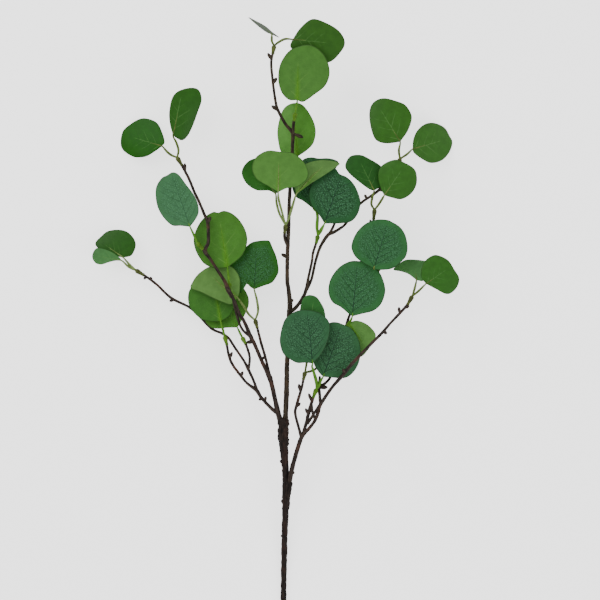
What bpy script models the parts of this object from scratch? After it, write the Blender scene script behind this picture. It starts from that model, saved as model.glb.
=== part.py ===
# Eucalyptus branch: an imitation silver dollar eucalyptus spray that lies on a flat surface.
# Bark stems plug into a main stem, and leaves with moulded sleeves are pushed on the twig tips.
# Every place is given in plan millimetres: x to the right, y down the sheet from the tip end of
# the branch to its cut foot, and z up from the surface. World units are metres.

from math import floor, pi, sin

import bmesh
import bpy
from mathutils import Vector

MM = 0.001
FOOT_Y = 612.0  # plan y of the cut foot
MID_X = 283.6  # plan x of the main stem

BLADE_THICKNESS = 0.75
BLADE_CELLS = 6  # cells along each side of a blade's grid
BLADE_WAVE = 1.0  # how far a blade's edge waves up and down
RIB_LENGTH = 6.0  # how far a petiole runs into its blade
RIB_RADIUS = 0.55
PETIOLE_RADIUS = 0.75
PETIOLE_ROOT_RADIUS = 0.95

SLEEVE_MOUTH_RADIUS = 1.5
SLEEVE_FORK_RADIUS = 2.1
BORE_RADIUS = 0.95
BORE_DEPTH = 4.6
PEG_RADIUS = 0.6
PEG_LENGTH = 4.0
CLEARANCE = 0.3

SOCKET_RADIUS = 1.85
SOCKET_DEPTH = 8.0
ARM_PEG_RADIUS = 1.5
ARM_PEG_LENGTH = 7.4
OVERSHOOT = 2.0  # how far a cutter stands out, and a peg is sunk in

BARK_SIDES = 8
TWIG_SIDES = 6
ROUTE_STEP = 12.0
BUD_ROOT_SHARE = 0.7  # a bud's radius at its root and at its tip, as shares of its own
BUD_TIP_SHARE = 0.45
BUD_WAIST = 0.6  # how far along a bud is thickest

FOOT_BLOCK = (20.0, 80.0, 10.0)  # what is cut away under the foot: across, along and deep
FOOT_BLOCK_MARGIN = 10.0  # how far the block stands out past the cut end

WELD_DISTANCE = 0.00001
TINY = 1e-6
BARK_ROUGHNESS = 0.65
LEAF_ROUGHNESS = 0.5

BARK_BROWN = (0.036, 0.021, 0.016, 1.0)
OLIVE_BROWN = (0.055, 0.036, 0.022, 1.0)
TOP_GREEN = (0.045, 0.150, 0.025, 1.0)
NET_GREEN = (0.035, 0.140, 0.055, 1.0)
UNDER_GREEN = (0.115, 0.260, 0.060, 1.0)

# Sockets in the main stem: the middle of the mouth, and the end of the bore.
SOCKETS = {
    "centre_arm": ((285.7, 419.0, 28.1), (284.9, 427.0, 26.9)),
    "left_arm": ((280.2, 419.0, 28.1), (281.3, 427.0, 26.9)),
    "right_arm": ((289.7, 482.4, 20.6), (288.3, 489.8, 17.7)),
}

# A stem is a route of (x, y, z, radius). A tip names the leaf piece that is pushed on its end.
# A bud is (root, end, radius).
WOOD = {
    "trunk": {
        "colour": BARK_BROWN,
        "stems": [
            {
                "sides": 10,
                "route": [
                    (283.4, 612.0, 2.3, 2.7), (283.6, 590.0, 2.3, 2.6), (284.0, 566.0, 4.0, 2.6),
                    (284.8, 528.0, 8.5, 2.9), (285.6, 510.0, 11.5, 3.2), (286.2, 498.0, 13.5, 3.9),
                    (286.2, 487.0, 15.5, 3.8), (285.3, 470.0, 18.5, 3.2), (284.2, 453.0, 21.5, 4.0),
                    (283.2, 436.0, 25.0, 5.1), (283.0, 419.8, 28.0, 5.3),
                ],
            },
            {"sides": 10, "route": [(286.8, 498.0, 14.4, 2.8), (289.7, 482.8, 20.5, 3.1)]},
        ],
        "buds": [
            ((284.0, 463.5, 19.8), (280.0, 460.8, 21.5), 1.3),
            ((284.6, 538.0, 7.5), (280.8, 536.0, 8.4), 1.1),
            ((283.4, 504.0, 13.0), (282.2, 500.0, 15.4), 1.4),
            ((286.0, 446.0, 24.0), (288.4, 442.6, 26.6), 1.4),
        ],
    },
    "centre_arm": {
        "colour": OLIVE_BROWN,
        "stems": [
            {
                "sides": BARK_SIDES,
                "socket": "centre_arm",
                "route": [
                    (286.3, 398.0, 30.5, 2.4), (286.7, 377.0, 33.5, 2.2), (287.3, 359.0, 36.0, 2.1),
                    (288.6, 330.0, 39.2, 2.1), (289.6, 311.0, 41.2, 2.4), (289.9, 303.0, 42.0, 2.3),
                    (288.6, 290.0, 43.0, 1.8), (287.2, 279.0, 44.0, 1.7), (287.6, 252.0, 46.0, 1.7),
                    (288.6, 227.0, 48.0, 1.6), (289.1, 206.0, 50.0, 1.5), (290.1, 188.0, 51.2, 1.5),
                    (291.8, 160.0, 52.8, 1.4), (292.8, 141.0, 53.8, 1.4), (292.8, 133.3, 54.0, 1.7),
                    (289.5, 129.0, 54.4, 1.4), (285.4, 124.0, 55.0, 1.2), (281.8, 118.0, 55.6, 1.2),
                    (278.3, 111.0, 56.3, 1.2), (276.0, 104.0, 57.0, 1.1), (273.3, 86.0, 58.6, 1.0),
                    (271.4, 67.5, 60.2, 1.0), (271.6, 59.0, 60.8, 1.0),
                ],
                "tip": "leaf_top_pair",
            },
            {"route": [(292.8, 136.0, 54.0, 1.5), (293.2, 127.0, 55.3, 1.2)], "tip": "leaf_top_single"},
            {"route": [(291.4, 174.0, 52.0, 1.3), (293.2, 169.6, 50.0, 1.1)], "tip": "leaf_behind_stem"},
            {
                "route": [(288.0, 246.0, 46.6, 1.4), (284.9, 239.0, 48.2, 1.2)],
                "tip": "leaf_stem_trio",
            },
            {
                "route": [
                    (289.6, 312.0, 41.2, 1.8), (294.7, 308.6, 42.2, 1.6), (300.8, 301.0, 43.2, 1.5),
                    (305.9, 290.6, 44.0, 1.5), (308.3, 278.0, 45.8, 1.1), (311.8, 262.0, 47.2, 1.0),
                    (313.0, 253.0, 48.0, 1.0),
                ],
                "tip": "leaf_mid_pair",
            },
            {
                "route": [
                    (305.4, 292.0, 44.0, 1.3), (311.2, 280.0, 43.6, 1.1), (315.4, 262.0, 44.0, 1.1),
                    (320.1, 247.4, 44.6, 1.2), (327.6, 235.4, 45.2, 1.5), (333.4, 232.4, 45.4, 1.3),
                    (340.0, 228.5, 45.6, 1.1), (345.4, 224.0, 45.8, 1.0), (353.0, 213.4, 46.8, 1.0),
                    (360.5, 203.4, 47.8, 1.0), (372.5, 195.0, 48.6, 1.1), (380.0, 189.0, 49.0, 1.2),
                    (390.0, 177.0, 48.2, 1.0),
                ],
                "tip": "leaf_right_top_pair",
            },
            {"route": [(328.6, 234.6, 45.2, 1.1), (332.4, 228.4, 45.0, 1.0), (335.6, 221.0, 44.4, 0.8)]},
        ],
        "buds": [
            ((271.6, 60.0, 60.8), (267.8, 53.4, 62.0), 1.2),
            ((272.8, 84.0, 58.8), (276.8, 78.0, 60.2), 1.3),
            ((277.4, 110.4, 56.4), (271.6, 105.8, 57.6), 1.3),
            ((294.4, 134.2, 54.2), (303.2, 137.6, 56.4), 1.3),
            ((287.4, 257.6, 46.2), (282.4, 254.2, 47.6), 1.2),
            ((290.2, 302.0, 42.8), (293.2, 299.4, 44.6), 1.2),
            ((379.0, 190.4, 49.2), (385.6, 189.8, 51.0), 1.2),
            ((366.8, 198.6, 48.4), (364.6, 194.6, 50.0), 1.0),
        ],
    },
    "left_arm": {
        "colour": BARK_BROWN,
        "stems": [
            {
                "sides": BARK_SIDES,
                "socket": "left_arm",
                "route": [
                    (277.6, 411.0, 28.8, 2.4), (275.5, 401.6, 30.0, 2.1), (272.0, 386.0, 32.0, 2.0),
                    (269.0, 376.0, 33.2, 2.2), (262.2, 362.0, 35.2, 1.6), (255.1, 345.5, 37.0, 1.6),
                    (251.4, 338.4, 37.6, 1.9), (243.9, 321.0, 39.0, 1.4), (239.6, 314.5, 39.4, 1.3),
                    (233.3, 299.0, 39.8, 1.3), (228.4, 290.6, 40.0, 1.9), (225.0, 282.0, 39.9, 1.4),
                    (219.3, 273.0, 39.7, 1.2), (210.2, 259.0, 39.0, 1.2), (204.8, 251.0, 38.4, 1.7),
                    (208.0, 243.0, 38.2, 1.4), (208.3, 234.0, 37.8, 1.3), (207.6, 222.0, 36.8, 1.4),
                    (204.1, 214.0, 35.8, 1.2), (199.0, 201.6, 33.6, 1.1), (193.9, 191.0, 31.4, 1.1),
                    (188.8, 178.6, 28.8, 1.1),
                ],
                "tip": "leaf_left_top_pair",
            },
            {
                "route": [(206.4, 253.0, 38.6, 1.3), (204.2, 250.6, 39.4, 1.2)],
                "tip": "leaf_left_upper_single",
            },
            {
                "route": [(231.8, 296.4, 39.6, 1.3), (230.8, 296.6, 37.4, 1.1)],
                "tip": "leaf_left_mid_single",
            },
            {
                "route": [
                    (250.8, 337.0, 37.0, 1.3), (243.6, 331.0, 36.0, 1.0), (240.0, 325.0, 35.8, 1.0),
                    (237.4, 317.0, 36.2, 1.0), (233.4, 301.0, 38.6, 1.0),
                ],
            },
            {
                "route": [
                    (269.4, 377.0, 33.0, 1.6), (267.0, 364.0, 32.8, 1.1), (264.4, 354.0, 32.4, 1.1),
                    (261.2, 343.5, 31.8, 1.1), (258.8, 334.0, 31.4, 1.0),
                ],
                "tip": "leaf_left_inner_pair",
            },
            {"route": [(265.2, 357.0, 32.5, 1.1), (260.2, 359.6, 34.6, 1.1)]},
            {
                "route": [
                    (278.0, 414.0, 28.4, 1.8), (270.4, 407.6, 28.0, 1.5), (261.2, 397.6, 28.0, 1.4),
                    (256.6, 390.6, 28.0, 1.7), (247.0, 383.3, 28.0, 1.1), (240.8, 376.0, 28.0, 1.1),
                    (234.7, 368.0, 28.0, 1.1), (230.6, 361.0, 27.8, 1.1), (228.1, 352.7, 27.4, 1.0),
                ],
                "tip": "leaf_left_low_single",
            },
            {
                "route": [
                    (257.4, 391.6, 28.0, 1.3), (253.2, 380.0, 27.0, 1.1), (248.0, 369.0, 26.0, 1.3),
                    (243.6, 360.6, 24.8, 1.0), (234.7, 347.6, 22.2, 1.0), (228.6, 338.4, 19.6, 1.0),
                    (221.4, 333.3, 16.4, 1.0), (211.0, 328.4, 12.2, 1.0), (198.0, 315.0, 9.6, 1.0),
                    (188.5, 307.0, 9.4, 1.0), (173.0, 299.3, 10.4, 1.1), (165.0, 293.0, 11.2, 1.0),
                    (158.0, 286.0, 12.0, 1.0), (151.2, 280.4, 12.8, 1.0),
                ],
                "tip": "leaf_far_left_pair",
            },
            {
                "route": [
                    (248.2, 370.0, 26.0, 1.2), (249.6, 361.0, 28.4, 1.0), (249.0, 354.0, 30.0, 1.0),
                ],
                "tip": "leaf_left_rear_single",
            },
        ],
        "buds": [
            ((207.4, 223.0, 36.9), (210.6, 216.6, 38.0), 1.2),
            ((185.0, 170.6, 26.9), (184.6, 163.0, 28.4), 1.1),
            ((229.2, 359.0, 27.8), (232.2, 352.0, 29.0), 1.1),
            ((240.8, 377.0, 28.0), (242.8, 371.4, 29.4), 1.1),
            ((262.0, 399.0, 28.2), (258.6, 399.8, 29.6), 1.0),
            ((265.0, 401.4, 28.2), (265.8, 396.6, 29.6), 1.0),
            ((173.6, 299.8, 10.6), (169.0, 301.0, 11.4), 1.1),
            ((151.6, 281.0, 12.8), (149.8, 276.8, 14.6), 1.0),
            ((146.0, 276.4, 13.6), (143.4, 279.2, 14.4), 1.0),
            ((230.0, 292.6, 40.6), (226.6, 287.6, 42.2), 1.3),
            ((253.4, 341.6, 38.0), (249.6, 343.4, 39.6), 1.3),
        ],
    },
    "right_arm": {
        "colour": BARK_BROWN,
        "stems": [
            {
                "sides": BARK_SIDES,
                "socket": "right_arm",
                "route": [
                    (291.6, 471.0, 22.4, 2.1), (293.8, 462.0, 23.2, 2.0), (297.6, 449.0, 24.0, 1.9),
                    (302.1, 436.6, 24.8, 1.8), (309.6, 428.0, 26.4, 1.4), (315.3, 420.0, 28.4, 1.4),
                    (318.4, 412.0, 30.6, 1.5), (320.6, 404.6, 33.0, 1.5), (331.6, 388.0, 40.0, 1.3),
                    (342.0, 376.0, 47.0, 1.5), (351.8, 364.0, 48.4, 1.4), (367.0, 348.0, 48.4, 1.1),
                    (381.4, 333.5, 47.4, 1.2), (390.6, 323.0, 46.8, 1.0), (400.0, 313.0, 46.2, 1.1),
                ],
                "tip": "leaf_far_right_pair",
            },
            {
                "route": [
                    (301.6, 438.0, 24.7, 1.4), (298.2, 426.0, 24.6, 1.1), (295.2, 413.0, 26.6, 1.1),
                    (296.8, 404.7, 28.2, 1.2), (300.0, 393.5, 30.6, 1.1), (302.2, 386.0, 31.8, 1.0),
                ],
                "tip": "leaf_low_single",
            },
            {
                "route": [
                    (302.4, 437.0, 24.9, 1.6), (306.0, 424.0, 26.4, 1.4), (309.0, 412.0, 29.0, 1.5),
                    (311.2, 404.0, 31.0, 1.3),
                ],
                "tip": "leaf_low_pair",
            },
            {
                "route": [
                    (320.6, 405.0, 32.8, 1.3), (319.6, 394.0, 32.6, 1.2), (319.2, 386.6, 32.4, 1.5),
                    (324.4, 384.0, 32.2, 1.2), (330.5, 377.0, 31.4, 1.0), (336.6, 362.0, 30.0, 1.0),
                    (340.6, 346.0, 29.4, 1.0), (342.8, 338.0, 29.2, 1.2), (348.6, 318.0, 29.6, 1.0),
                    (356.0, 302.0, 31.0, 1.0), (363.6, 289.0, 32.6, 1.1), (369.0, 270.0, 33.8, 1.0),
                    (372.0, 248.0, 34.6, 1.0), (372.8, 230.0, 36.0, 1.0),
                ],
                "tip": "leaf_right_upper_pair",
            },
            {"route": [(342.0, 341.0, 29.2, 1.1), (343.6, 337.0, 31.2, 1.0)], "tip": "leaf_centre_pair"},
            {
                "route": [(363.2, 290.0, 33.0, 1.1), (366.6, 286.0, 34.4, 1.0)],
                "tip": "leaf_right_low_single",
            },
            {"route": [(319.2, 388.0, 32.4, 1.2), (319.8, 376.6, 34.6, 0.9)]},
            {
                "route": [
                    (320.4, 404.0, 33.0, 1.2), (313.8, 414.0, 30.4, 1.1), (307.4, 424.0, 27.2, 1.2),
                ],
            },
            {
                "route": [
                    (311.4, 403.0, 31.2, 1.1), (312.2, 411.0, 30.6, 1.1), (315.0, 419.0, 28.6, 1.1),
                ],
            },
        ],
        "buds": [
            ((300.4, 391.6, 31.0), (298.8, 384.0, 32.8), 1.2),
            ((296.2, 407.0, 27.8), (300.4, 403.0, 29.6), 1.2),
            ((308.6, 415.0, 28.6), (305.4, 408.4, 30.6), 1.1),
            ((311.4, 401.0, 31.8), (308.6, 393.4, 33.6), 1.1),
            ((319.6, 387.6, 32.6), (327.6, 387.2, 34.2), 1.5),
            ((383.4, 331.6, 47.4), (387.0, 333.6, 48.8), 1.2),
            ((399.6, 313.4, 46.3), (398.8, 307.0, 48.0), 1.1),
            ((404.8, 308.2, 45.8), (409.2, 305.6, 47.0), 1.1),
            ((372.6, 226.6, 36.4), (370.0, 219.6, 38.2), 1.1),
            ((344.6, 373.4, 47.8), (343.2, 368.8, 50.0), 1.2),
            ((291.0, 474.0, 22.0), (294.4, 472.4, 24.0), 1.2),
        ],
    },
}

# A blade is its outline on the plan, clockwise from the point where the petiole meets it, the
# height there, how far it rises to its far end, how far its right edge is higher than its middle,
# and how deep it is cupped. An outline point may have a height of its own, and a petiole point a
# radius of its own.
LEAVES = {
    "leaf_top_pair": {
        "colour": TOP_GREEN,
        "mouth": (272.8, 54.0, 61.2),
        "fork": (274.2, 46.4, 62.0),
        "blades": [
            {
                "petiole": [(272.0, 42.0, 62.4), (271.8, 37.6, 62.6)],
                "outline": [
                    (271.8, 34.9, 62.0), (262.6, 31.0, 65.2), (253.6, 24.4, 60.0), (248.5, 17.4, 47.2),
                    (256.4, 20.0, 34.5), (266.4, 26.4, 29.2), (275.0, 33.2, 34.5), (279.3, 37.2, 47.2),
                    (276.4, 36.4, 54.8),
                ],
            },
            {
                "petiole": [(278.0, 43.0, 62.6), (285.0, 39.4, 63.4)],
                "outline": [
                    (292.6, 39.8), (300.4, 28.4), (311.9, 19.6), (325.0, 22.8), (338.6, 31.0),
                    (344.8, 42.0), (341.0, 52.0), (328.7, 62.8), (310.0, 60.0), (294.0, 51.0),
                    (290.2, 46.0),
                ],
                "height": 63.6, "rise": 1.0, "roll": -2.0, "cup": -2.0,
            },
        ],
    },
    "leaf_top_single": {
        "colour": UNDER_GREEN,
        "mouth": (294.0, 121.0, 56.4),
        "fork": (295.2, 113.4, 58.2),
        "blades": [
            {
                "petiole": [(296.4, 106.6, 60.4)],
                "outline": [
                    (297.3, 100.6), (288.5, 99.9), (281.3, 92.0), (278.2, 79.0), (280.5, 64.0),
                    (289.0, 51.5), (300.2, 46.5), (310.3, 45.6), (320.3, 51.3), (327.6, 62.0),
                    (329.5, 75.0), (325.0, 86.3), (315.0, 94.5), (303.7, 102.0),
                ],
                "height": 62.0, "rise": 10.0, "roll": 2.0, "cup": 2.0,
            },
        ],
    },
    "leaf_behind_stem": {
        "colour": UNDER_GREEN,
        "mouth": (293.8, 168.0, 48.8),
        "fork": (295.6, 161.8, 45.0),
        "blades": [
            {
                "petiole": [],
                "outline": [
                    (297.0, 157.0), (286.0, 156.0), (280.6, 151.0), (278.3, 142.0), (277.3, 131.5),
                    (279.3, 119.5), (283.0, 109.7), (289.0, 104.3), (297.2, 102.8), (303.4, 105.5),
                    (309.4, 113.2), (314.5, 123.8), (315.7, 133.6), (313.0, 143.7), (306.4, 150.6),
                ],
                "height": 42.4, "rise": -2.0, "roll": 2.0, "cup": -2.0,
            },
        ],
    },
    "leaf_stem_trio": {
        "colour": UNDER_GREEN,
        "mouth": (284.6, 233.0, 50.6),
        "fork": (285.6, 225.6, 53.2),
        "blades": [
            {
                "petiole": [(281.4, 210.0, 57.6), (278.6, 199.0, 60.0)],
                "outline": [
                    (278.2, 192.4), (268.2, 186.4), (256.4, 179.0), (252.0, 168.2), (256.0, 157.6),
                    (267.4, 151.1), (280.5, 152.1), (293.0, 153.6), (302.8, 161.0), (308.2, 171.6),
                    (306.4, 180.0), (297.4, 186.8), (287.0, 188.4),
                ],
                "height": 61.5, "rise": 14.0, "roll": 0.0, "cup": 2.5,
            },
            {
                "petiole": [(279.6, 214.0, 55.4), (276.6, 203.0, 55.8)],
                "outline": [
                    (275.8, 194.4), (268.8, 190.8), (256.4, 190.2), (246.4, 183.4), (241.7, 173.0),
                    (245.6, 163.8), (254.0, 158.7), (266.0, 158.8), (277.0, 164.0), (282.0, 175.0),
                    (280.6, 188.0),
                ],
                "height": 55.8, "rise": -3.0, "roll": 2.0, "cup": 2.0,
            },
            {
                "petiole": [(289.6, 216.0, 55.4), (293.4, 203.0, 57.6)],
                "outline": [
                    (296.2, 194.4), (293.6, 182.0), (297.0, 170.0), (309.0, 162.6), (324.3, 160.2),
                    (339.2, 163.2), (334.0, 168.8), (322.4, 176.6), (310.8, 183.8),
                ],
                "height": 58.6, "rise": 5.0, "roll": -3.0, "cup": 1.5,
            },
        ],
    },
    "leaf_mid_pair": {
        "colour": NET_GREEN,
        "mouth": (316.2, 243.0, 49.0),
        "fork": (317.8, 236.0, 50.2),
        "blades": [
            {
                "petiole": [(321.2, 230.4, 52.2, 1.5)],
                "outline": [
                    (324.5, 223.6), (318.6, 214.2), (311.6, 205.4), (308.9, 196.0), (310.7, 186.0),
                    (317.0, 177.6), (326.0, 171.4), (334.8, 168.4), (339.6, 173.9), (347.0, 177.4),
                    (354.0, 184.5), (359.0, 195.2), (360.4, 204.2), (357.4, 214.6), (351.0, 221.5),
                    (340.6, 223.4),
                ],
                "height": 53.6, "rise": 1.0, "roll": 1.0, "cup": -2.0,
            },
            {
                "petiole": [(317.0, 227.0, 49.4, 1.4), (317.5, 217.0, 48.0, 1.3), (316.4, 211.4, 47.2, 1.1)],
                "outline": [
                    (313.4, 209.0), (303.4, 201.2), (295.6, 196.4), (291.6, 184.0), (294.0, 169.6),
                    (303.3, 159.5), (311.0, 157.3), (319.0, 158.4), (328.0, 158.2), (336.0, 160.2),
                    (338.4, 163.4), (334.4, 172.0), (332.0, 188.0), (322.0, 204.0),
                ],
                "height": 46.6, "rise": -2.0, "roll": 1.0, "cup": -1.5,
            },
        ],
    },
    "leaf_right_top_pair": {
        "colour": TOP_GREEN,
        "mouth": (397.6, 167.0, 46.6),
        "fork": (400.0, 159.0, 45.0),
        "blades": [
            {
                "petiole": [(398.9, 150.6, 42.0)],
                "outline": [
                    (400.3, 141.8), (386.3, 143.4), (376.2, 140.1), (371.5, 130.0), (369.3, 116.2),
                    (371.0, 105.8), (376.8, 99.8), (385.0, 98.0), (395.0, 100.4), (404.8, 104.3),
                    (410.6, 112.2), (411.8, 119.4), (407.8, 130.9),
                ],
                "height": 39.0, "rise": -6.0, "roll": -2.0, "cup": -2.0,
            },
            {
                "petiole": [(407.0, 154.2, 40.6)],
                "outline": [
                    (412.6, 149.0), (413.4, 139.4), (417.4, 130.4), (425.4, 123.6), (435.0, 122.5),
                    (445.0, 127.0), (450.0, 135.0), (453.0, 142.0), (449.6, 152.2), (442.0, 160.2),
                    (431.6, 162.8), (422.9, 159.4), (414.2, 153.0),
                ],
                "height": 36.33, "rise": -35.3, "roll": -2.0, "cup": -2.0,
            },
        ],
    },
    "leaf_right_upper_pair": {
        "colour": TOP_GREEN,
        "mouth": (373.6, 219.0, 38.0),
        "fork": (374.6, 210.0, 41.6),
        "blades": [
            {
                "petiole": [(378.6, 204.6, 47.6), (382.4, 198.6, 54.6)],
                "outline": [
                    (384.2, 195.4), (380.8, 189.0), (378.1, 178.5), (379.0, 169.8), (384.5, 163.6),
                    (395.0, 159.8), (403.0, 162.1), (413.3, 168.1), (416.6, 175.2), (416.2, 185.0),
                    (411.0, 193.8), (401.3, 199.3), (391.0, 197.6),
                ],
                "height": 57.0, "rise": 2.0, "roll": 0.0, "cup": -2.0,
            },
            {
                "petiole": [(371.4, 204.4, 46.8), (372.4, 197.0, 51.8)],
                "outline": [
                    (374.0, 190.8), (368.6, 189.0), (357.3, 180.6), (348.0, 172.1), (345.2, 165.0),
                    (350.2, 156.4), (360.6, 155.0), (370.0, 159.2), (380.6, 165.9), (385.6, 174.0),
                    (384.4, 184.0),
                ],
                "height": 52.8, "rise": -2.0, "roll": -2.0, "cup": -1.5,
            },
        ],
    },
    "leaf_right_low_single": {
        "colour": NET_GREEN,
        "mouth": (367.6, 284.6, 34.8),
        "fork": (371.4, 277.6, 35.8),
        "blades": [
            {
                "petiole": [(376.4, 272.6, 36.6), (379.6, 269.4, 39.8), (378.0, 267.2, 43.6)],
                "outline": [
                    (373.8, 268.9), (363.0, 262.8), (356.2, 257.7), (352.6, 252.0), (351.5, 244.6),
                    (356.2, 233.1), (365.1, 224.0), (376.0, 219.7), (386.8, 219.8), (392.0, 221.9),
                    (400.0, 227.0), (405.3, 235.0), (407.6, 245.8), (406.8, 253.9), (403.4, 259.6),
                    (393.0, 268.2), (380.2, 270.0),
                ],
                "height": 46.8, "rise": 3.0, "roll": 0.0, "cup": -2.0,
            },
        ],
    },
    "leaf_centre_pair": {
        "colour": NET_GREEN,
        "mouth": (345.2, 332.0, 32.8),
        "fork": (347.4, 325.0, 34.4),
        "blades": [
            {
                "petiole": [(350.6, 320.6, 36.6)],
                "outline": [
                    (352.3, 316.4), (348.0, 313.2), (340.8, 307.2), (332.3, 302.0), (328.4, 292.0),
                    (330.4, 279.4), (338.3, 268.0), (349.0, 261.6), (359.0, 261.0), (369.4, 263.4),
                    (378.4, 270.8), (383.4, 280.4), (385.3, 291.6), (381.4, 303.6), (373.4, 310.8),
                    (361.8, 313.9),
                ],
                "height": 39.6, "rise": -0.5, "roll": 0.0, "cup": -1.8,
            },
            {
                "petiole": [],
                "outline": [
                    (348.4, 322.6), (356.0, 320.6), (364.0, 322.6), (371.0, 327.6), (375.8, 334.6),
                    (373.6, 342.0), (368.0, 350.0), (361.6, 356.6), (353.0, 357.0), (346.4, 350.0),
                    (344.4, 338.0), (346.0, 328.0),
                ],
                "height": 35.6, "rise": 2.0, "roll": 0.0, "cup": 1.5,
            },
        ],
    },
    "leaf_low_pair": {
        "colour": NET_GREEN,
        "mouth": (313.2, 397.6, 33.2),
        "fork": (316.2, 389.6, 35.6),
        "blades": [
            {
                "petiole": [(316.8, 384.6, 38.4, 1.7), (315.6, 378.6, 41.0, 1.8), (313.4, 371.0, 46.0, 1.4), (312.0, 366.4, 48.6, 1.1)],
                "outline": [
                    (312.6, 363.4), (305.8, 362.7), (297.3, 362.9), (290.3, 359.4), (283.3, 353.6),
                    (279.9, 343.0), (280.6, 333.2), (284.4, 320.4), (291.5, 313.4), (300.4, 310.0),
                    (311.0, 310.4), (321.6, 313.8), (329.3, 322.6), (329.4, 334.0), (326.0, 345.0),
                    (320.4, 355.2),
                ],
                "height": 51.4, "rise": 1.5, "roll": 0.0, "cup": -1.8,
            },
            {
                "petiole": [(318.6, 386.0, 38.0, 1.6), (320.6, 381.0, 39.0, 1.4)],
                "outline": [
                    (323.1, 376.8), (317.8, 371.0), (313.4, 362.0), (314.4, 347.0), (321.0, 331.0),
                    (328.6, 323.6), (335.0, 322.0), (342.8, 324.2), (352.4, 329.4), (358.5, 339.8),
                    (360.6, 349.4), (359.8, 359.4), (356.6, 367.9), (350.8, 374.9), (343.8, 378.2),
                    (332.6, 377.7),
                ],
                "height": 41.8, "rise": 0.5, "roll": 0.0, "cup": -1.2,
            },
        ],
    },
    "leaf_low_single": {
        "colour": TOP_GREEN,
        "mouth": (303.4, 379.4, 33.0),
        "fork": (305.0, 372.6, 35.2),
        "blades": [
            {
                "petiole": [(306.8, 362.0, 40.4), (307.8, 353.0, 44.6)],
                "outline": [
                    (308.0, 347.0), (301.0, 338.0), (298.2, 322.0), (300.2, 308.0), (302.5, 299.2),
                    (306.4, 295.7), (311.0, 295.0), (316.8, 297.2), (321.3, 303.4), (324.4, 310.0),
                    (325.4, 320.0), (322.0, 334.0), (315.0, 344.0),
                ],
                "height": 46.4, "rise": 0.5, "roll": 0.0, "cup": -1.0,
            },
            {
                "petiole": [(309.6, 371.6, 35.6), (314.6, 369.6, 35.6)],
                "outline": [
                    (318.6, 366.0), (317.6, 358.0), (319.6, 348.6), (325.6, 342.6), (333.0, 343.0),
                    (335.6, 349.6), (333.0, 358.6), (326.6, 364.6),
                ],
                "height": 35.6, "rise": 0.5, "roll": 0.0, "cup": 1.0,
            },
        ],
    },
    "leaf_far_right_pair": {
        "colour": TOP_GREEN,
        "mouth": (407.6, 304.6, 45.6),
        "fork": (412.2, 296.4, 45.4),
        "blades": [
            {
                "petiole": [(419.0, 290.6, 46.0)],
                "outline": [
                    (425.9, 283.8), (421.4, 277.6), (421.2, 269.6), (424.6, 261.4), (431.8, 255.8),
                    (438.4, 255.3), (448.2, 260.2), (454.6, 269.8), (459.2, 277.8), (457.7, 286.0),
                    (451.8, 292.7), (445.4, 293.9), (435.7, 289.0),
                ],
                "height": 46.2, "rise": -5.0, "roll": 0.0, "cup": -1.8,
            },
            {
                "petiole": [(414.8, 288.0, 43.2)],
                "outline": [
                    (416.5, 280.2), (408.7, 274.2), (401.0, 271.4), (393.4, 269.6), (399.0, 264.0),
                    (405.7, 259.8), (415.6, 259.5), (425.0, 260.8), (432.6, 263.6), (434.6, 270.0),
                    (430.6, 277.0), (423.0, 281.0),
                ],
                "height": 40.6, "rise": -10.0, "roll": 0.0, "cup": 1.5,
            },
        ],
    },
    "leaf_left_top_pair": {
        "colour": TOP_GREEN,
        "mouth": (181.8, 165.2, 25.6),
        "fork": (177.0, 157.4, 24.4),
        "blades": [
            {
                "petiole": [(171.0, 154.8, 22.6), (166.4, 151.0, 20.6)],
                "outline": [
                    (161.8, 145.8), (155.4, 150.6), (146.6, 155.8), (138.9, 157.1), (132.2, 156.2),
                    (123.2, 150.4), (120.0, 142.9), (122.2, 130.7), (130.5, 123.0), (139.6, 118.2),
                    (147.2, 118.1), (156.2, 121.9), (161.0, 129.9), (164.4, 141.2),
                ],
                "height": 18.53, "rise": -17.2, "roll": 0.0, "cup": -1.5,
            },
            {
                "petiole": [(178.3, 150.0, 24.8), (176.0, 142.0, 25.2)],
                "outline": [
                    (172.8, 135.4), (169.8, 124.0), (169.0, 112.4), (171.6, 98.8), (177.0, 91.6),
                    (187.0, 87.9), (196.0, 88.0), (200.4, 92.7), (201.4, 100.9), (198.0, 110.9),
                    (192.6, 125.6), (187.0, 136.2), (181.0, 140.0),
                ],
                "height": 25.4, "rise": 6.0, "roll": -4.0, "cup": -1.5,
            },
        ],
    },
    "leaf_left_upper_single": {
        "colour": NET_GREEN,
        "mouth": (202.8, 249.2, 39.9),
        "fork": (197.2, 243.2, 41.2),
        "blades": [
            {
                "petiole": [(193.8, 235.0, 41.0)],
                "outline": [
                    (190.0, 226.8), (180.6, 225.8), (172.2, 225.4), (163.9, 218.1), (157.9, 208.0),
                    (155.5, 196.2), (156.3, 186.3), (161.4, 178.2), (167.2, 175.0), (172.4, 172.2),
                    (178.5, 174.4), (186.2, 184.5), (193.4, 194.1), (197.9, 203.9), (198.5, 213.0),
                    (194.9, 220.3),
                ],
                "height": 40.0, "rise": -3.0, "roll": 0.0, "cup": 1.8,
            },
        ],
    },
    "leaf_left_mid_single": {
        "colour": UNDER_GREEN,
        "mouth": (229.6, 291.6, 35.4),
        "fork": (229.0, 283.6, 34.0),
        "blades": [
            {
                "petiole": [(228.2, 275.0, 33.4)],
                "outline": [
                    (227.4, 267.8), (216.0, 268.4), (205.8, 264.9), (200.2, 259.0), (195.0, 249.0),
                    (193.6, 237.4), (198.6, 224.4), (205.8, 216.0), (213.4, 211.8), (218.0, 212.5),
                    (224.0, 210.7), (232.0, 213.4), (239.7, 220.3), (245.8, 231.3), (247.0, 243.0),
                    (241.7, 256.0),
                ],
                "height": 33.0, "rise": -1.5, "roll": 0.0, "cup": 1.5,
            },
        ],
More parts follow.
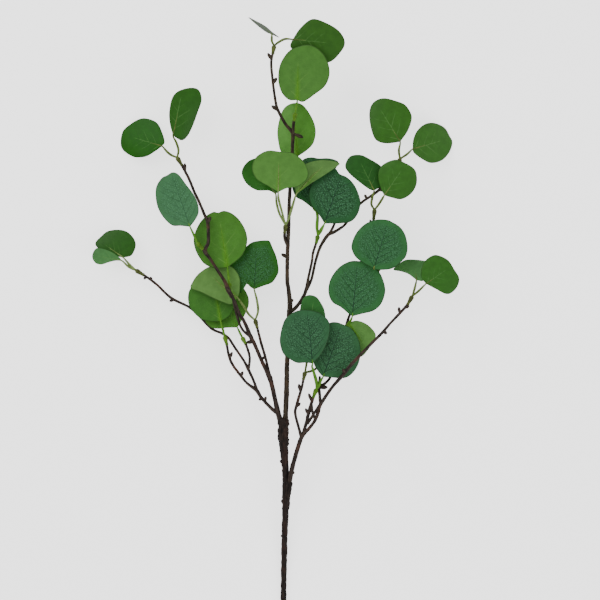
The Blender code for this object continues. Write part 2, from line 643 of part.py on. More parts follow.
    },
    "leaf_left_inner_pair": {
        "colour": NET_GREEN,
        "mouth": (257.2, 327.8, 31.2),
        "fork": (255.2, 320.4, 30.4),
        "blades": [
            {
                "petiole": [(258.0, 311.0, 28.4), (256.8, 300.0, 26.0)],
                "outline": [
                    (254.1, 289.4), (247.0, 284.4), (239.6, 280.4), (233.0, 272.0), (231.0, 264.0),
                    (237.4, 256.0), (247.2, 245.6), (258.3, 240.7), (265.0, 240.2), (269.6, 241.1),
                    (273.4, 249.0), (277.4, 260.0), (278.5, 270.0), (273.0, 282.0), (263.0, 286.0),
                ],
                "height": 23.8, "rise": 0.0, "roll": 1.0, "cup": -1.5,
            },
            {
                "petiole": [(249.0, 314.6, 30.6), (243.0, 305.4, 30.4)],
                "outline": [
                    (237.6, 298.0), (231.0, 304.4), (220.8, 301.4), (210.6, 296.9), (200.4, 291.9),
                    (190.6, 288.0), (192.6, 281.4), (197.4, 274.6), (204.2, 269.2), (211.4, 265.7),
                    (220.0, 264.2), (230.4, 266.0), (236.6, 271.6), (239.8, 279.0), (240.0, 287.0),
                    (239.4, 293.0),
                ],
                "height": 29.0, "rise": -2.0, "roll": 0.0, "cup": 1.0,
            },
        ],
    },
    "leaf_left_low_single": {
        "colour": UNDER_GREEN,
        "mouth": (226.8, 345.0, 27.0),
        "fork": (224.6, 336.6, 25.6),
        "blades": [
            {
                "petiole": [(222.4, 328.4, 23.4)],
                "outline": [
                    (220.6, 321.6), (210.6, 321.4), (201.4, 319.2), (192.4, 311.3), (188.2, 303.0),
                    (188.6, 291.6), (196.0, 281.6), (209.0, 277.0), (223.0, 279.6), (232.4, 289.0),
                    (235.2, 302.0), (230.0, 315.2),
                ],
                "height": 21.6, "rise": -0.5, "roll": 0.0, "cup": 1.2,
            },
        ],
    },
    "leaf_left_rear_single": {
        "colour": TOP_GREEN,
        "mouth": (245.8, 344.2, 28.8),
        "fork": (242.4, 338.0, 23.6),
        "blades": [
            {
                "petiole": [(239.6, 332.6, 19.4)],
                "outline": [
                    (237.2, 327.6), (227.0, 327.8), (217.8, 328.8), (210.4, 327.3), (204.6, 321.0),
                    (202.2, 310.0), (206.0, 297.0), (216.0, 288.0), (230.0, 284.4), (241.6, 286.6),
                    (247.9, 295.9), (248.6, 305.0), (245.2, 313.8), (241.0, 321.6),
                ],
                "height": 16.6, "rise": -1.0, "roll": 0.0, "cup": 1.0,
            },
        ],
    },
    "leaf_far_left_pair": {
        "colour": TOP_GREEN,
        "mouth": (143.4, 275.0, 13.8),
        "fork": (135.8, 270.4, 15.0),
        "blades": [
            {
                "petiole": [(129.6, 265.0, 15.6)],
                "outline": [
                    (122.9, 257.5), (110.6, 255.0), (101.4, 250.6), (95.8, 246.4), (95.0, 242.0),
                    (100.4, 236.2), (107.0, 231.0), (117.1, 229.4), (126.4, 231.4), (133.1, 237.8),
                    (135.4, 244.2), (134.0, 250.4), (130.5, 255.7),
                ],
                "height": 15.4, "rise": -6.0, "roll": 0.0, "cup": -1.2,
            },
            {
                "petiole": [(128.4, 266.8, 16.8)],
                "outline": [
                    (121.7, 260.7), (115.4, 260.6), (108.4, 262.2), (101.6, 264.4), (96.0, 263.6),
                    (92.6, 259.8), (91.8, 255.2), (94.1, 249.9), (97.6, 247.8), (105.0, 249.4),
                    (112.4, 252.6), (118.6, 257.0),
                ],
                "height": 18.8, "rise": 3.0, "roll": 0.0, "cup": 1.5,
            },
        ],
    },
}


def clear_scene():
    for obj in list(bpy.data.objects):
        bpy.data.objects.remove(obj)


def new_collection(name):
    made = bpy.data.collections.new(name)
    bpy.context.scene.collection.children.link(made)
    return made


def material(name, colour, roughness):
    made = bpy.data.materials.new(name)
    made.use_nodes = True
    shader = made.node_tree.nodes["Principled BSDF"]
    shader.inputs["Base Color"].default_value = colour
    shader.inputs["Roughness"].default_value = roughness
    shader.inputs["Metallic"].default_value = 0.0
    return made


def world(point):
    """World metres of a plan point in millimetres."""
    return Vector(((point[0] - MID_X) * MM, (FOOT_Y - point[1]) * MM, point[2] * MM))


def spline_point(before, start, end, after, share):
    """A point of the smooth curve through start and end, with its neighbours on either side."""
    a = 2.0 * start
    b = end - before
    c = 2.0 * before - 5.0 * start + 4.0 * end - after
    d = 3.0 * start - before - 3.0 * end + after
    return 0.5 * (a + b * share + c * share**2 + d * share**3)


def smooth_route(points, step):
    """The smooth curve through (x, y, z, radius) points, read about every step millimetres."""
    points = [Vector(point) for point in points]
    ends = [2.0 * points[0] - points[1]] + points + [2.0 * points[-1] - points[-2]]
    route = []
    for i in range(1, len(ends) - 2):
        length = (ends[i + 1].xyz - ends[i].xyz).length
        count = max(1, round(length / step))
        for k in range(count):
            route.append(spline_point(ends[i - 1], ends[i], ends[i + 1], ends[i + 2], k / count))
    return route + [points[-1]]


def sweep(name, route, sides, home):
    """A closed round tube along a route of (x, y, z, radius) points."""
    curve = bpy.data.curves.new(name, "CURVE")
    curve.dimensions = "3D"
    curve.bevel_depth = MM
    curve.bevel_resolution = (sides - 4) // 2
    curve.use_fill_caps = True
    spline = curve.splines.new("POLY")
    spline.points.add(len(route) - 1)
    for point, place in zip(spline.points, route):
        point.co = (*world(place), 1.0)
        point.radius = place[3]
    guide = bpy.data.objects.new(name, curve)
    home.objects.link(guide)
    bpy.context.view_layer.update()
    graph = bpy.context.evaluated_depsgraph_get()
    mesh = bpy.data.meshes.new_from_object(guide.evaluated_get(graph))
    bpy.data.objects.remove(guide)
    weld(mesh)
    tube = bpy.data.objects.new(name, mesh)
    home.objects.link(tube)
    return tube


def weld(mesh):
    shape = bmesh.new()
    shape.from_mesh(mesh)
    bmesh.ops.remove_doubles(shape, verts=shape.verts, dist=WELD_DISTANCE)
    bmesh.ops.recalc_face_normals(shape, faces=shape.faces)
    shape.to_mesh(mesh)
    shape.free()


def straight(name, start, end, radius, sides, home):
    return sweep(name, [(*start, radius), (*end, radius)], sides, home)


def outline_points(blade):
    """The outline with a height at every point, all as vectors in plan millimetres."""
    outline = blade["outline"]
    if len(outline[0]) == 3:
        return [Vector(point) for point in outline]
    flat = [Vector(point) for point in outline]
    base = flat[0]
    middle = sum(flat, Vector((0.0, 0.0))) / len(flat)
    length = 2.0 * (middle - base).length
    along = (middle - base).normalized()
    across = Vector((-along.y, along.x))
    half_width = max(abs((point - base).dot(across)) for point in flat)
    raised = []
    for point in flat:
        far = (point - base).dot(along) / length
        side = (point - base).dot(across) / half_width
        height = blade["height"] + blade["rise"] * far + blade["roll"] * side
        raised.append(Vector((point.x, point.y, height)))
    return raised


def outline_curve(points, share):
    """A point of the closed outline at a share of its length, with a corner at the base."""
    count = len(points)
    place = share * count
    index = min(floor(place), count - 1)
    start = points[index]
    end = points[(index + 1) % count]
    before = points[index - 1] if index > 0 else 2.0 * start - end
    after = points[(index + 2) % count] if index < count - 1 else 2.0 * end - start
    return spline_point(before, start, end, after, place - index)


def ring_share(a, b, ring):
    """How far round its square ring a grid point lies, clockwise from the middle of the near side."""
    u = a / ring
    v = b / ring
    if v < TINY - 1.0:
        walked = -u if u <= 0.0 else 8.0 - u
    elif u < TINY - 1.0:
        walked = 2.0 + v
    elif v > 1.0 - TINY:
        walked = 4.0 + u
    else:
        walked = 6.0 - v
    return (walked / 8.0) % 1.0


def blade_place(blade, points, a, b):
    """The plan place of a blade's grid point (a, b), each from -1 to 1, with the base at (0, -1)."""
    middle = sum(points, Vector((0.0, 0.0, 0.0))) / len(points)
    middle.z -= blade.get("cup", 0.0)
    ring = max(abs(a), abs(b))
    if ring < TINY:
        return middle
    share = ring_share(a, b, ring)
    edge = outline_curve(points, share)
    place = middle.lerp(edge, ring)
    place.z -= blade.get("cup", 0.0) * (ring - ring**2)
    place.z += BLADE_WAVE * ring**3 * sin(4.0 * pi * share) * sin(pi * share)
    return place


def make_blade(name, blade, home):
    """The blade as one thin closed sheet, its triangles alike on both faces."""
    points = outline_points(blade)
    shape = bmesh.new()
    bmesh.ops.create_grid(shape, x_segments=BLADE_CELLS, y_segments=BLADE_CELLS, size=1.0)
    for vert in shape.verts:
        vert.co = world(blade_place(blade, points, vert.co.x, vert.co.y))
    bmesh.ops.triangulate(shape, faces=shape.faces)
    mesh = bpy.data.meshes.new(name)
    shape.to_mesh(mesh)
    shape.free()
    sheet = bpy.data.objects.new(name, mesh)
    home.objects.link(sheet)
    solid = sheet.modifiers.new("thickness", "SOLIDIFY")
    solid.thickness = BLADE_THICKNESS * MM
    solid.offset = 0.0
    return sheet


def make_petiole(name, leaf, blade, home):
    """From inside the sleeve's fork to the blade's base, and on as a rib along its middle."""
    mouth = Vector(leaf["mouth"])
    fork = Vector(leaf["fork"])
    root = fork + (mouth - fork).normalized() * OVERSHOOT
    points = outline_points(blade)
    base = points[0]
    middle = blade_place(blade, points, 0.0, 0.0)
    rib = base.lerp(middle, RIB_LENGTH / (middle - base).length)
    route = [(*root, PETIOLE_ROOT_RADIUS), (*fork, PETIOLE_ROOT_RADIUS)]
    route += [place if len(place) == 4 else (*place, PETIOLE_RADIUS) for place in blade["petiole"]]
    route += [(*base, PETIOLE_RADIUS), (*rib, RIB_RADIUS)]
    return sweep(name, smooth_route(route, ROUTE_STEP), TWIG_SIDES, home)


def apply_all(obj):
    """Leaves the object with the mesh that its modifiers make."""
    bpy.context.view_layer.update()
    graph = bpy.context.evaluated_depsgraph_get()
    mesh = bpy.data.meshes.new_from_object(obj.evaluated_get(graph))
    obj.modifiers.clear()
    obj.data = mesh


def fuse(name, pieces, cutters):
    """One body from the pieces, less the cutters. The pieces and cutters are removed."""
    whole = pieces[0]
    whole.name = name
    for operation, others in (("UNION", pieces[1:]), ("DIFFERENCE", cutters)):
        if not others:
            continue
        group = bpy.data.collections.new(operation.lower())
        for other in others:
            group.objects.link(other)
            other.hide_render = True
            other.display_type = "WIRE"
        join = whole.modifiers.new(operation.lower(), "BOOLEAN")
        join.operation = operation
        join.operand_type = "COLLECTION"
        join.collection = group
        join.solver = "EXACT"
        apply_all(whole)
        for other in others:
            bpy.data.objects.remove(other)
        bpy.data.collections.remove(group)
    whole.data.name = name
    return whole


def make_leaf(name, leaf, home):
    mouth = Vector(leaf["mouth"])
    fork = Vector(leaf["fork"])
    way = (fork - mouth).normalized()
    sleeve = [(*mouth, SLEEVE_MOUTH_RADIUS), (*fork, SLEEVE_FORK_RADIUS)]
    pieces = [sweep(name, sleeve, BARK_SIDES, home)]
    for number, blade in enumerate(leaf["blades"]):
        sheet = make_blade(f"{name}_blade_{number}", blade, home)
        apply_all(sheet)
        pieces.append(sheet)
        pieces.append(make_petiole(f"{name}_petiole_{number}", leaf, blade, home))
    bore = straight(
        f"{name}_bore", mouth - way * OVERSHOOT, mouth + way * BORE_DEPTH, BORE_RADIUS, TWIG_SIDES, home
    )
    return fuse(name, pieces, [bore])


def stem_route(stem):
    """The stem's own points, with its two ends taken from its socket and its leaf piece."""
    route = list(stem["route"])
    if "socket" in stem:
        mouth, end = (Vector(place) for place in SOCKETS[stem["socket"]])
        way = (mouth - end).normalized()
        route.insert(0, (*(mouth + way * CLEARANCE), route[0][3]))
    if "tip" in stem:
        leaf = LEAVES[stem["tip"]]
        mouth = Vector(leaf["mouth"])
        way = (Vector(leaf["fork"]) - mouth).normalized()
        route.append((*(mouth - way * CLEARANCE), route[-1][3]))
    return smooth_route(route, ROUTE_STEP)


def pegs(name, stem, home):
    """The thinner ends that go into the socket and into the leaf piece's sleeve."""
    made = []
    if "socket" in stem:
        mouth, end = (Vector(place) for place in SOCKETS[stem["socket"]])
        way = (end - mouth).normalized()
        made.append(
            straight(
                f"{name}_root", mouth - way * OVERSHOOT, mouth + way * ARM_PEG_LENGTH,
                ARM_PEG_RADIUS, BARK_SIDES, home,
            )
        )
    if "tip" in stem:
        leaf = LEAVES[stem["tip"]]
        mouth = Vector(leaf["mouth"])
        way = (Vector(leaf["fork"]) - mouth).normalized()
        made.append(
            straight(
                f"{name}_peg", mouth - way * OVERSHOOT, mouth + way * PEG_LENGTH,
                PEG_RADIUS, TWIG_SIDES, home,
            )
        )
    return made


def make_bud(name, bud, home):
    root, end, radius = bud
    waist = Vector(root).lerp(Vector(end), BUD_WAIST)
    route = [(*root, radius * BUD_ROOT_SHARE), (*waist, radius), (*end, radius * BUD_TIP_SHARE)]
    return sweep(name, route, TWIG_SIDES, home)


def make_wood(name, wood, home):
    pieces = []
    for number, stem in enumerate(wood["stems"]):
        title = f"{name}_stem_{number}"
        pieces.append(sweep(title, stem_route(stem), stem.get("sides", TWIG_SIDES), home))
        pieces += pegs(title, stem, home)
    for number, bud in enumerate(wood["buds"]):
        pieces.append(make_bud(f"{name}_bud_{number}", bud, home))
    cutters = []
    if name == "trunk":
        cutters = [socket_cutter(arm, home) for arm in SOCKETS]
        cutters.append(foot_cutter(home))
    return fuse(name, pieces, cutters)


def socket_cutter(arm, home):
    mouth, end = (Vector(place) for place in SOCKETS[arm])
    way = (end - mouth).normalized()
    return straight(
        f"{arm}_bore", mouth - way * OVERSHOOT, mouth + way * SOCKET_DEPTH, SOCKET_RADIUS, BARK_SIDES, home
    )


def foot_cutter(home):
    """A block under the surface, which leaves the flat spot that the foot lies on."""
    bpy.ops.mesh.primitive_cube_add(size=1.0)
    block = bpy.context.active_object
    for owner in list(block.users_collection):
        owner.objects.unlink(block)
    home.objects.link(block)
    block.name = "foot_block"
    width, length, depth = (size * MM for size in FOOT_BLOCK)
    for vert in block.data.vertices:
        vert.co.x = vert.co.x * width
        vert.co.y = (vert.co.y + 0.5) * length - FOOT_BLOCK_MARGIN * MM
        vert.co.z = (vert.co.z - 0.5) * depth
    return block


def stand_on_origin(nodes):
    """Puts the middle of the object's box over the origin, and its lowest point at height 0."""
    corners = [obj.matrix_world @ Vector(corner) for obj in nodes for corner in obj.bound_box]
    low = Vector(min(corner[i] for corner in corners) for i in range(3))
    high = Vector(max(corner[i] for corner in corners) for i in range(3))
    origin = bpy.data.objects.new("branch_origin", None)
    bpy.context.scene.collection.objects.link(origin)
    origin.location = (-0.5 * (low.x + high.x), -0.5 * (low.y + high.y), -low.z)
    for obj in nodes:
        obj.parent = origin


def main():
    clear_scene()
    branch = new_collection("eucalyptus_branch")
    nodes = []
    for name, wood in WOOD.items():
        node = make_wood(name, wood, branch)
        node.data.materials.clear()
        node.data.materials.append(material(f"{name}_bark", wood["colour"], BARK_ROUGHNESS))
        nodes.append(node)
    for name, leaf in LEAVES.items():
        node = make_leaf(name, leaf, branch)
        node.data.materials.clear()
        node.data.materials.append(material(f"{name}_green", leaf["colour"], LEAF_ROUGHNESS))
        nodes.append(node)
    bpy.context.view_layer.update()
    stand_on_origin(nodes)


main()
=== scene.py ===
from math import cos, floor, pi, sin

import bmesh
import bpy
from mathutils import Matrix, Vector, noise

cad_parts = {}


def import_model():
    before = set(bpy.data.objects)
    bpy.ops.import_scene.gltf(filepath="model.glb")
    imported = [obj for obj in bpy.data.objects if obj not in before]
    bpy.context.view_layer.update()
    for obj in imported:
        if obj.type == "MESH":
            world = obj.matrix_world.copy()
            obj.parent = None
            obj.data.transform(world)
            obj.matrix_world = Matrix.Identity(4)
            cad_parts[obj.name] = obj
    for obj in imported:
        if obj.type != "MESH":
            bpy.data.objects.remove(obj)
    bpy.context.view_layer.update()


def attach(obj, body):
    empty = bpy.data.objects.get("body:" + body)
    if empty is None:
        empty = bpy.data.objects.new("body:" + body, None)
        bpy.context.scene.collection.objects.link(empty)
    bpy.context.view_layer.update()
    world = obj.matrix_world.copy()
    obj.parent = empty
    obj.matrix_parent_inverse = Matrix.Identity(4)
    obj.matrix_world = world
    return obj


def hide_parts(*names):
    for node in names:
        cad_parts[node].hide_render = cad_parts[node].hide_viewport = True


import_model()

mm = 0.001
tiny = 1e-6
origin = (275.5559, 314.5619)  # the plan point that lies over the world's origin


# Places are plan millimetres: x to the right, y down from the tips to the cut foot, z up.
def world(place):
    return Vector(((place[0] - origin[0]) * mm, (origin[1] - place[1]) * mm, place[2] * mm))


def middleOf(points):
    return sum(points[1:], points[0]) / len(points)


paint = {"dimming": 0.92, "gamma": 2.2, "darkest": 0.002}


def linear(screen):
    # A colour as seen on a screen, 0 to 255, as the linear colour that a shader takes.
    plain = (paint["dimming"] * (part / 255) ** paint["gamma"] for part in screen)
    return tuple(max(paint["darkest"], part) for part in plain)


def mixed(first, second, share):
    return tuple(a + (b - a) * share for a, b in zip(first, second))


# Shader helpers: each returns the output socket of the node that it adds.

def plug(tree, socket, value):
    if isinstance(value, bpy.types.NodeSocket):
        tree.links.new(value, socket)
    elif value is not None:
        socket.default_value = value


def calc(tree, operation, first, second=None, third=None):
    step = tree.nodes.new("ShaderNodeMath")
    step.operation = operation
    for socket, value in zip(step.inputs, (first, second, third)):
        plug(tree, socket, value)
    return step.outputs[0]


def ramp(tree, value, start, end, low=0.0, high=1.0):
    step = tree.nodes.new("ShaderNodeMapRange")
    step.interpolation_type = "SMOOTHSTEP"
    for name, number in (("From Min", start), ("From Max", end), ("To Min", low), ("To Max", high)):
        plug(tree, step.inputs[name], number)
    plug(tree, step.inputs["Value"], value)
    return step.outputs["Result"]


mixSockets, mixResult = (0, 6, 7), 2  # the sockets of a Mix node that take and give colours


def mixColour(tree, share, first, second, blend="MIX"):
    step = tree.nodes.new("ShaderNodeMix")
    step.data_type = "RGBA"
    step.blend_type = blend
    for index, value in zip(mixSockets, (share, first, second)):
        plug(tree, step.inputs[index], value)
    return step.outputs[mixResult]


def noiseAt(tree, vector, scale, detail=3.0, roughness=0.55):
    step = tree.nodes.new("ShaderNodeTexNoise")
    plug(tree, step.inputs["Vector"], vector)
    step.inputs["Scale"].default_value = scale
    step.inputs["Detail"].default_value = detail
    step.inputs["Roughness"].default_value = roughness
    return step.outputs["Fac"]


def stretched(tree, vector, scale):
    step = tree.nodes.new("ShaderNodeMapping")
    plug(tree, step.inputs["Vector"], vector)
    step.inputs["Scale"].default_value = scale
    return step.outputs["Vector"]


def storedOn(tree, name):
    step = tree.nodes.new("ShaderNodeAttribute")
    step.attribute_name = name
    return step.outputs


def newGroup(name, inputs, outputs):
    tree = bpy.data.node_groups.new(name, "ShaderNodeTree")
    for title, kind in inputs:
        tree.interface.new_socket(title, in_out="INPUT", socket_type=kind)
    for title in outputs:
        tree.interface.new_socket(title, in_out="OUTPUT", socket_type="NodeSocketFloat")
    return tree, tree.nodes.new("NodeGroupInput").outputs, tree.nodes.new("NodeGroupOutput").inputs


def placeGroup(tree, group, **values):
    step = tree.nodes.new("ShaderNodeGroup")
    step.node_tree = group
    for title, value in values.items():
        plug(tree, step.inputs[title], value)
    return step.outputs


def newMaterial(name, roughness=0.5, specular=0.15):
    made = bpy.data.materials.new(name)
    made.use_nodes = True
    tree = made.node_tree
    shader = tree.nodes["Principled BSDF"]
    shader.inputs["Roughness"].default_value = roughness
    shader.inputs["Specular IOR Level"].default_value = specular
    return made, tree, shader.inputs


def addBump(tree, shader, height, distance, strength):
    step = tree.nodes.new("ShaderNodeBump")
    step.inputs["Strength"].default_value = strength
    step.inputs["Distance"].default_value = distance
    tree.links.new(height, step.inputs["Height"])
    tree.links.new(step.outputs["Normal"], shader["Normal"])


# How veins are drawn on every leaf. Lengths are shares of the leaf's own length.
veinShape = {
    "wander": 0.05, "wanderScale": 5.0,  # the midrib isn't quite straight
    "midrib": 0.014, "midribTaper": -0.010,  # half its width at the base, and how that changes
    "midribEdge": (0.4, 1.0), "midribEnd": (-0.05, 0.1),
    "glowWidth": 0.075, "glowEnd": (0.05, 0.75),
    "lean": -0.85, "bend": -0.55, "stagger": 0.18,  # how side veins run, and how the halves differ
    "side": (0.003, 0.013), "sideFade": (0.3, 1.0), "sideStart": (0.0, 0.04), "sideEnd": (0.1, 0.35),
    "cells": 37.0, "thread": (0.03, 0.2),  # the net's meshes
    "breakScale": 34.0, "breaks": (0.38, 0.6), "brokenThread": 0.25,
    "netEnd": (0.8, 1.08), "netWander": 0.3, "netOutside": 0.1,
    "rim": (0.955, 0.995),
    "mottleScale": 7.0,
}


# Its Map input is the leafMap attribute: X across and Y along the leaf, both in leaf lengths
# from the base, and Z from 0 at the middle to 1 at the edge.
def leafVeinGroup():
    tree, given, result = newGroup(
        "leafVeins",
        [
            ("Map", "NodeSocketVector"), ("Reach", "NodeSocketFloat"), ("Rows", "NodeSocketFloat"),
            ("Span", "NodeSocketFloat"),
        ],
        ["Midrib", "Glow", "Sides", "Net", "Inner", "Edge", "Mottle"],
    )
    split = tree.nodes.new("ShaderNodeSeparateXYZ")
    plug(tree, split.inputs[0], given["Map"])
    flat = stretched(tree, given["Map"], (1.0, 1.0, 0.0))
    along, ring = split.outputs["Y"], split.outputs["Z"]
    wander = noiseAt(tree, flat, veinShape["wanderScale"], 2.0)
    shift = calc(tree, "SUBTRACT", wander, 0.5)
    across = calc(tree, "MULTIPLY_ADD", shift, veinShape["wander"], split.outputs["X"])
    apart = calc(tree, "ABSOLUTE", across)

    width = calc(tree, "MULTIPLY_ADD", along, veinShape["midribTaper"], veinShape["midrib"])
    midrib = ramp(tree, calc(tree, "DIVIDE", apart, width), *veinShape["midribEdge"], 1.0, 0.0)
    ending = ramp(tree, calc(tree, "SUBTRACT", given["Reach"], along), *veinShape["midribEnd"])
    plug(tree, result["Midrib"], calc(tree, "MULTIPLY", midrib, ending))
    glow = ramp(tree, apart, 0.0, veinShape["glowWidth"], 1.0, 0.0)
    fading = ramp(tree, along, *veinShape["glowEnd"], 1.0, 0.0)
    plug(tree, result["Glow"], calc(tree, "MULTIPLY", glow, fading))

    rise = calc(tree, "MULTIPLY_ADD", apart, veinShape["lean"], along)
    rise = calc(tree, "MULTIPLY_ADD", calc(tree, "MULTIPLY", apart, apart), veinShape["bend"], rise)
    stagger = calc(tree, "MULTIPLY", calc(tree, "SIGN", across), veinShape["stagger"])
    phase = calc(tree, "MULTIPLY_ADD", rise, given["Rows"], stagger)
    off = calc(tree, "ABSOLUTE", calc(tree, "SUBTRACT", calc(tree, "FRACT", phase), 0.5))
    line = ramp(tree, calc(tree, "DIVIDE", off, given["Rows"]), *veinShape["side"], 1.0, 0.0)
    spread = calc(tree, "DIVIDE", apart, given["Span"])
    line = calc(tree, "MULTIPLY", line, ramp(tree, spread, *veinShape["sideFade"], 1.0, 0.0))
    line = calc(tree, "MULTIPLY", line, ramp(tree, rise, *veinShape["sideStart"]))
    left = calc(tree, "SUBTRACT", given["Reach"], rise)
    plug(tree, result["Sides"], calc(tree, "MULTIPLY", line, ramp(tree, left, *veinShape["sideEnd"])))

    cells = tree.nodes.new("ShaderNodeTexVoronoi")
    cells.feature = "DISTANCE_TO_EDGE"
    plug(tree, cells.inputs["Vector"], flat)
    cells.inputs["Scale"].default_value = veinShape["cells"]
    threads = ramp(tree, cells.outputs["Distance"], *veinShape["thread"])
    breaks = noiseAt(tree, flat, veinShape["breakScale"], 2.0)
    breaks = ramp(tree, breaks, *veinShape["breaks"], veinShape["brokenThread"], 1.0)
    threads = calc(tree, "MULTIPLY", threads, breaks)
    inner = calc(tree, "MULTIPLY_ADD", wander, veinShape["netWander"], ring)
    inner = ramp(tree, inner, *veinShape["netEnd"], 1.0, 0.0)
    plug(tree, result["Inner"], inner)
    outside = veinShape["netOutside"]
    share = calc(tree, "MULTIPLY_ADD", inner, 1.0 - outside, outside)
    plug(tree, result["Net"], calc(tree, "MULTIPLY", threads, share))
    plug(tree, result["Edge"], ramp(tree, ring, *veinShape["rim"]))
    plug(tree, result["Mottle"], noiseAt(tree, flat, veinShape["mottleScale"], 4.0))
    return tree


leafSurface = {
    "rim": (0.020, 0.035, 0.010, 1.0), "rimShare": 0.6,
    "mottle": 0.10, "mottleEnds": (0.3, 0.7),
    "patchEnds": (0.4, 0.55),
    "bumpDepth": 0.00025, "bump": 0.6,
}
leafFinishes = {
    "leafNet": {
        "net": (0.090, 0.270, 0.130, 1.0), "netShare": 0.74, "sides": 0.8, "veinShare": 0.85,
        "veins": (0.003, 0.020, 0.012, 1.0), "veinHeight": -1.0, "roughness": 0.45, "reach": 0.95,
        "depth": 0.64, "rows": 7.5, "span": 0.45, "patchy": 0.7,
    },
    "leafPlain": {
        "net": (0.060, 0.180, 0.040, 1.0), "netShare": 0.10, "sides": 0.9, "veinShare": 0.62,
        "veins": (0.120, 0.290, 0.070, 1.0), "veinHeight": 1.0, "roughness": 0.42, "reach": 0.72,
        "depth": 1.0, "rows": 5.0, "span": 0.25, "patchy": 0.3,
    },
    "leafUnder": {
        "net": (0.160, 0.330, 0.090, 1.0), "netShare": 0.12, "sides": 0.55, "veinShare": 0.5,
        "veins": (0.230, 0.440, 0.090, 1.0), "veinHeight": 1.0, "roughness": 0.55, "reach": 0.7,
        "depth": 1.0, "rows": 5.0, "span": 0.24, "patchy": 0.3,
        "glow": (0.095, 0.300, 0.004, 1.0), "glowShare": 0.6,
    },
}


def mottled(tree, colour, mottle, amount):
    # The colour, lighter and darker in patches by a share of itself.
    grey = ramp(tree, mottle, *leafSurface["mottleEnds"], 1.0 - amount, 1.0 + amount)
    joined = tree.nodes.new("ShaderNodeCombineColor")
    for socket in joined.inputs:
        plug(tree, socket, grey)
    return mixColour(tree, 1.0, colour, joined.outputs[0], "MULTIPLY")


def leafMaterial(name, veins, facts):
    made, tree, shader = newMaterial(name, facts["roughness"])
    place, green = storedOn(tree, "leafMap")["Vector"], storedOn(tree, "leafGreen")
    reach, rows, span = facts["reach"], facts["rows"], facts["span"]
    parts = placeGroup(tree, veins, Map=place, Reach=reach, Rows=rows, Span=span)
    strength, depth = green["Alpha"], facts["depth"]
    inner = calc(tree, "MULTIPLY", parts["Inner"], strength)
    colour = mixColour(tree, inner, green["Color"], (depth, depth, depth, 1.0), "MULTIPLY")
    colour = mottled(tree, colour, parts["Mottle"], leafSurface["mottle"])
    if "glow" in facts:
        glow = calc(tree, "MULTIPLY", parts["Glow"], facts["glowShare"])
        colour = mixColour(tree, glow, colour, facts["glow"])
    net = calc(tree, "MULTIPLY", parts["Net"], facts["netShare"])
    colour = mixColour(tree, net, colour, facts["net"])
    ribs = calc(tree, "MAXIMUM", parts["Midrib"], calc(tree, "MULTIPLY", parts["Sides"], facts["sides"]))
    ribs = calc(tree, "MULTIPLY", ribs, strength)
    patches = ramp(tree, parts["Mottle"], *leafSurface["patchEnds"], facts["patchy"], 1.0)
    ribs = calc(tree, "MULTIPLY", ribs, patches)
    colour = mixColour(tree, calc(tree, "MULTIPLY", ribs, facts["veinShare"]), colour, facts["veins"])
    rim = calc(tree, "MULTIPLY", parts["Edge"], leafSurface["rimShare"])
    plug(tree, shader["Base Color"], mixColour(tree, rim, colour, leafSurface["rim"]))
    height = calc(tree, "MULTIPLY_ADD", ribs, facts["veinHeight"], net)
    addBump(tree, shader, height, leafSurface["bumpDepth"], leafSurface["bump"])
    return made


stalkSurface = {
    "patchScale": 260.0, "patchEnds": (0.35, 0.65),
    "bumpScale": 1500.0, "bumpDepth": 0.0003, "bump": 0.4,
}
stalkFinishes = {
    "petioleOlive": {"light": (112, 130, 66), "shade": (82, 98, 48)},
    "petioleLime": {"light": (98, 150, 48), "shade": (80, 130, 38)},
    "petiolePale": {"light": (132, 156, 92), "shade": (104, 126, 66)},
    "sleeveOlive": {"light": (100, 110, 56), "shade": (68, 72, 38)},
    "sleeveLime": {"light": (100, 142, 42), "shade": (70, 106, 32)},
}


def stalkMaterial(name, light, shade):
    made, tree, shader = newMaterial(name)
    where = tree.nodes.new("ShaderNodeTexCoord").outputs["Object"]
    patches = noiseAt(tree, where, stalkSurface["patchScale"], 4.0)
    patches = ramp(tree, patches, *stalkSurface["patchEnds"])
    colour = mixColour(tree, patches, (*linear(shade), 1.0), (*linear(light), 1.0))
    plug(tree, shader["Base Color"], colour)
    height = noiseAt(tree, where, stalkSurface["bumpScale"])
    addBump(tree, shader, height, stalkSurface["bumpDepth"], stalkSurface["bump"])
    return made


barkSurface = {
    "grainScale": 900.0, "grainStretch": (1.0, 1.0, 0.14), "grainEnds": (0.38, 0.72),
    "patchScale": 55.0, "patchEnds": (0.5, 0.62), "patchShare": 0.5,
    "ringScale": 700.0, "ringStretch": (0.3, 0.3, 1.0), "ringShare": 0.5,
    "specular": 0.2, "roughness": (0.7, 0.5),  # in the grain and on its ridges
    "bumpDepth": 0.0006, "bump": 0.8,
}
barkFinishes = {
    "bark_brown": {"dark": (25, 21, 20), "light": (58, 46, 40), "patch": (70, 50, 42)},
    "bark_olive": {"dark": (38, 31, 26), "light": (80, 70, 54), "patch": (90, 70, 50)},
    "barkRed": {"dark": (38, 32, 29), "light": (80, 66, 58), "patch": (98, 66, 52)},
}


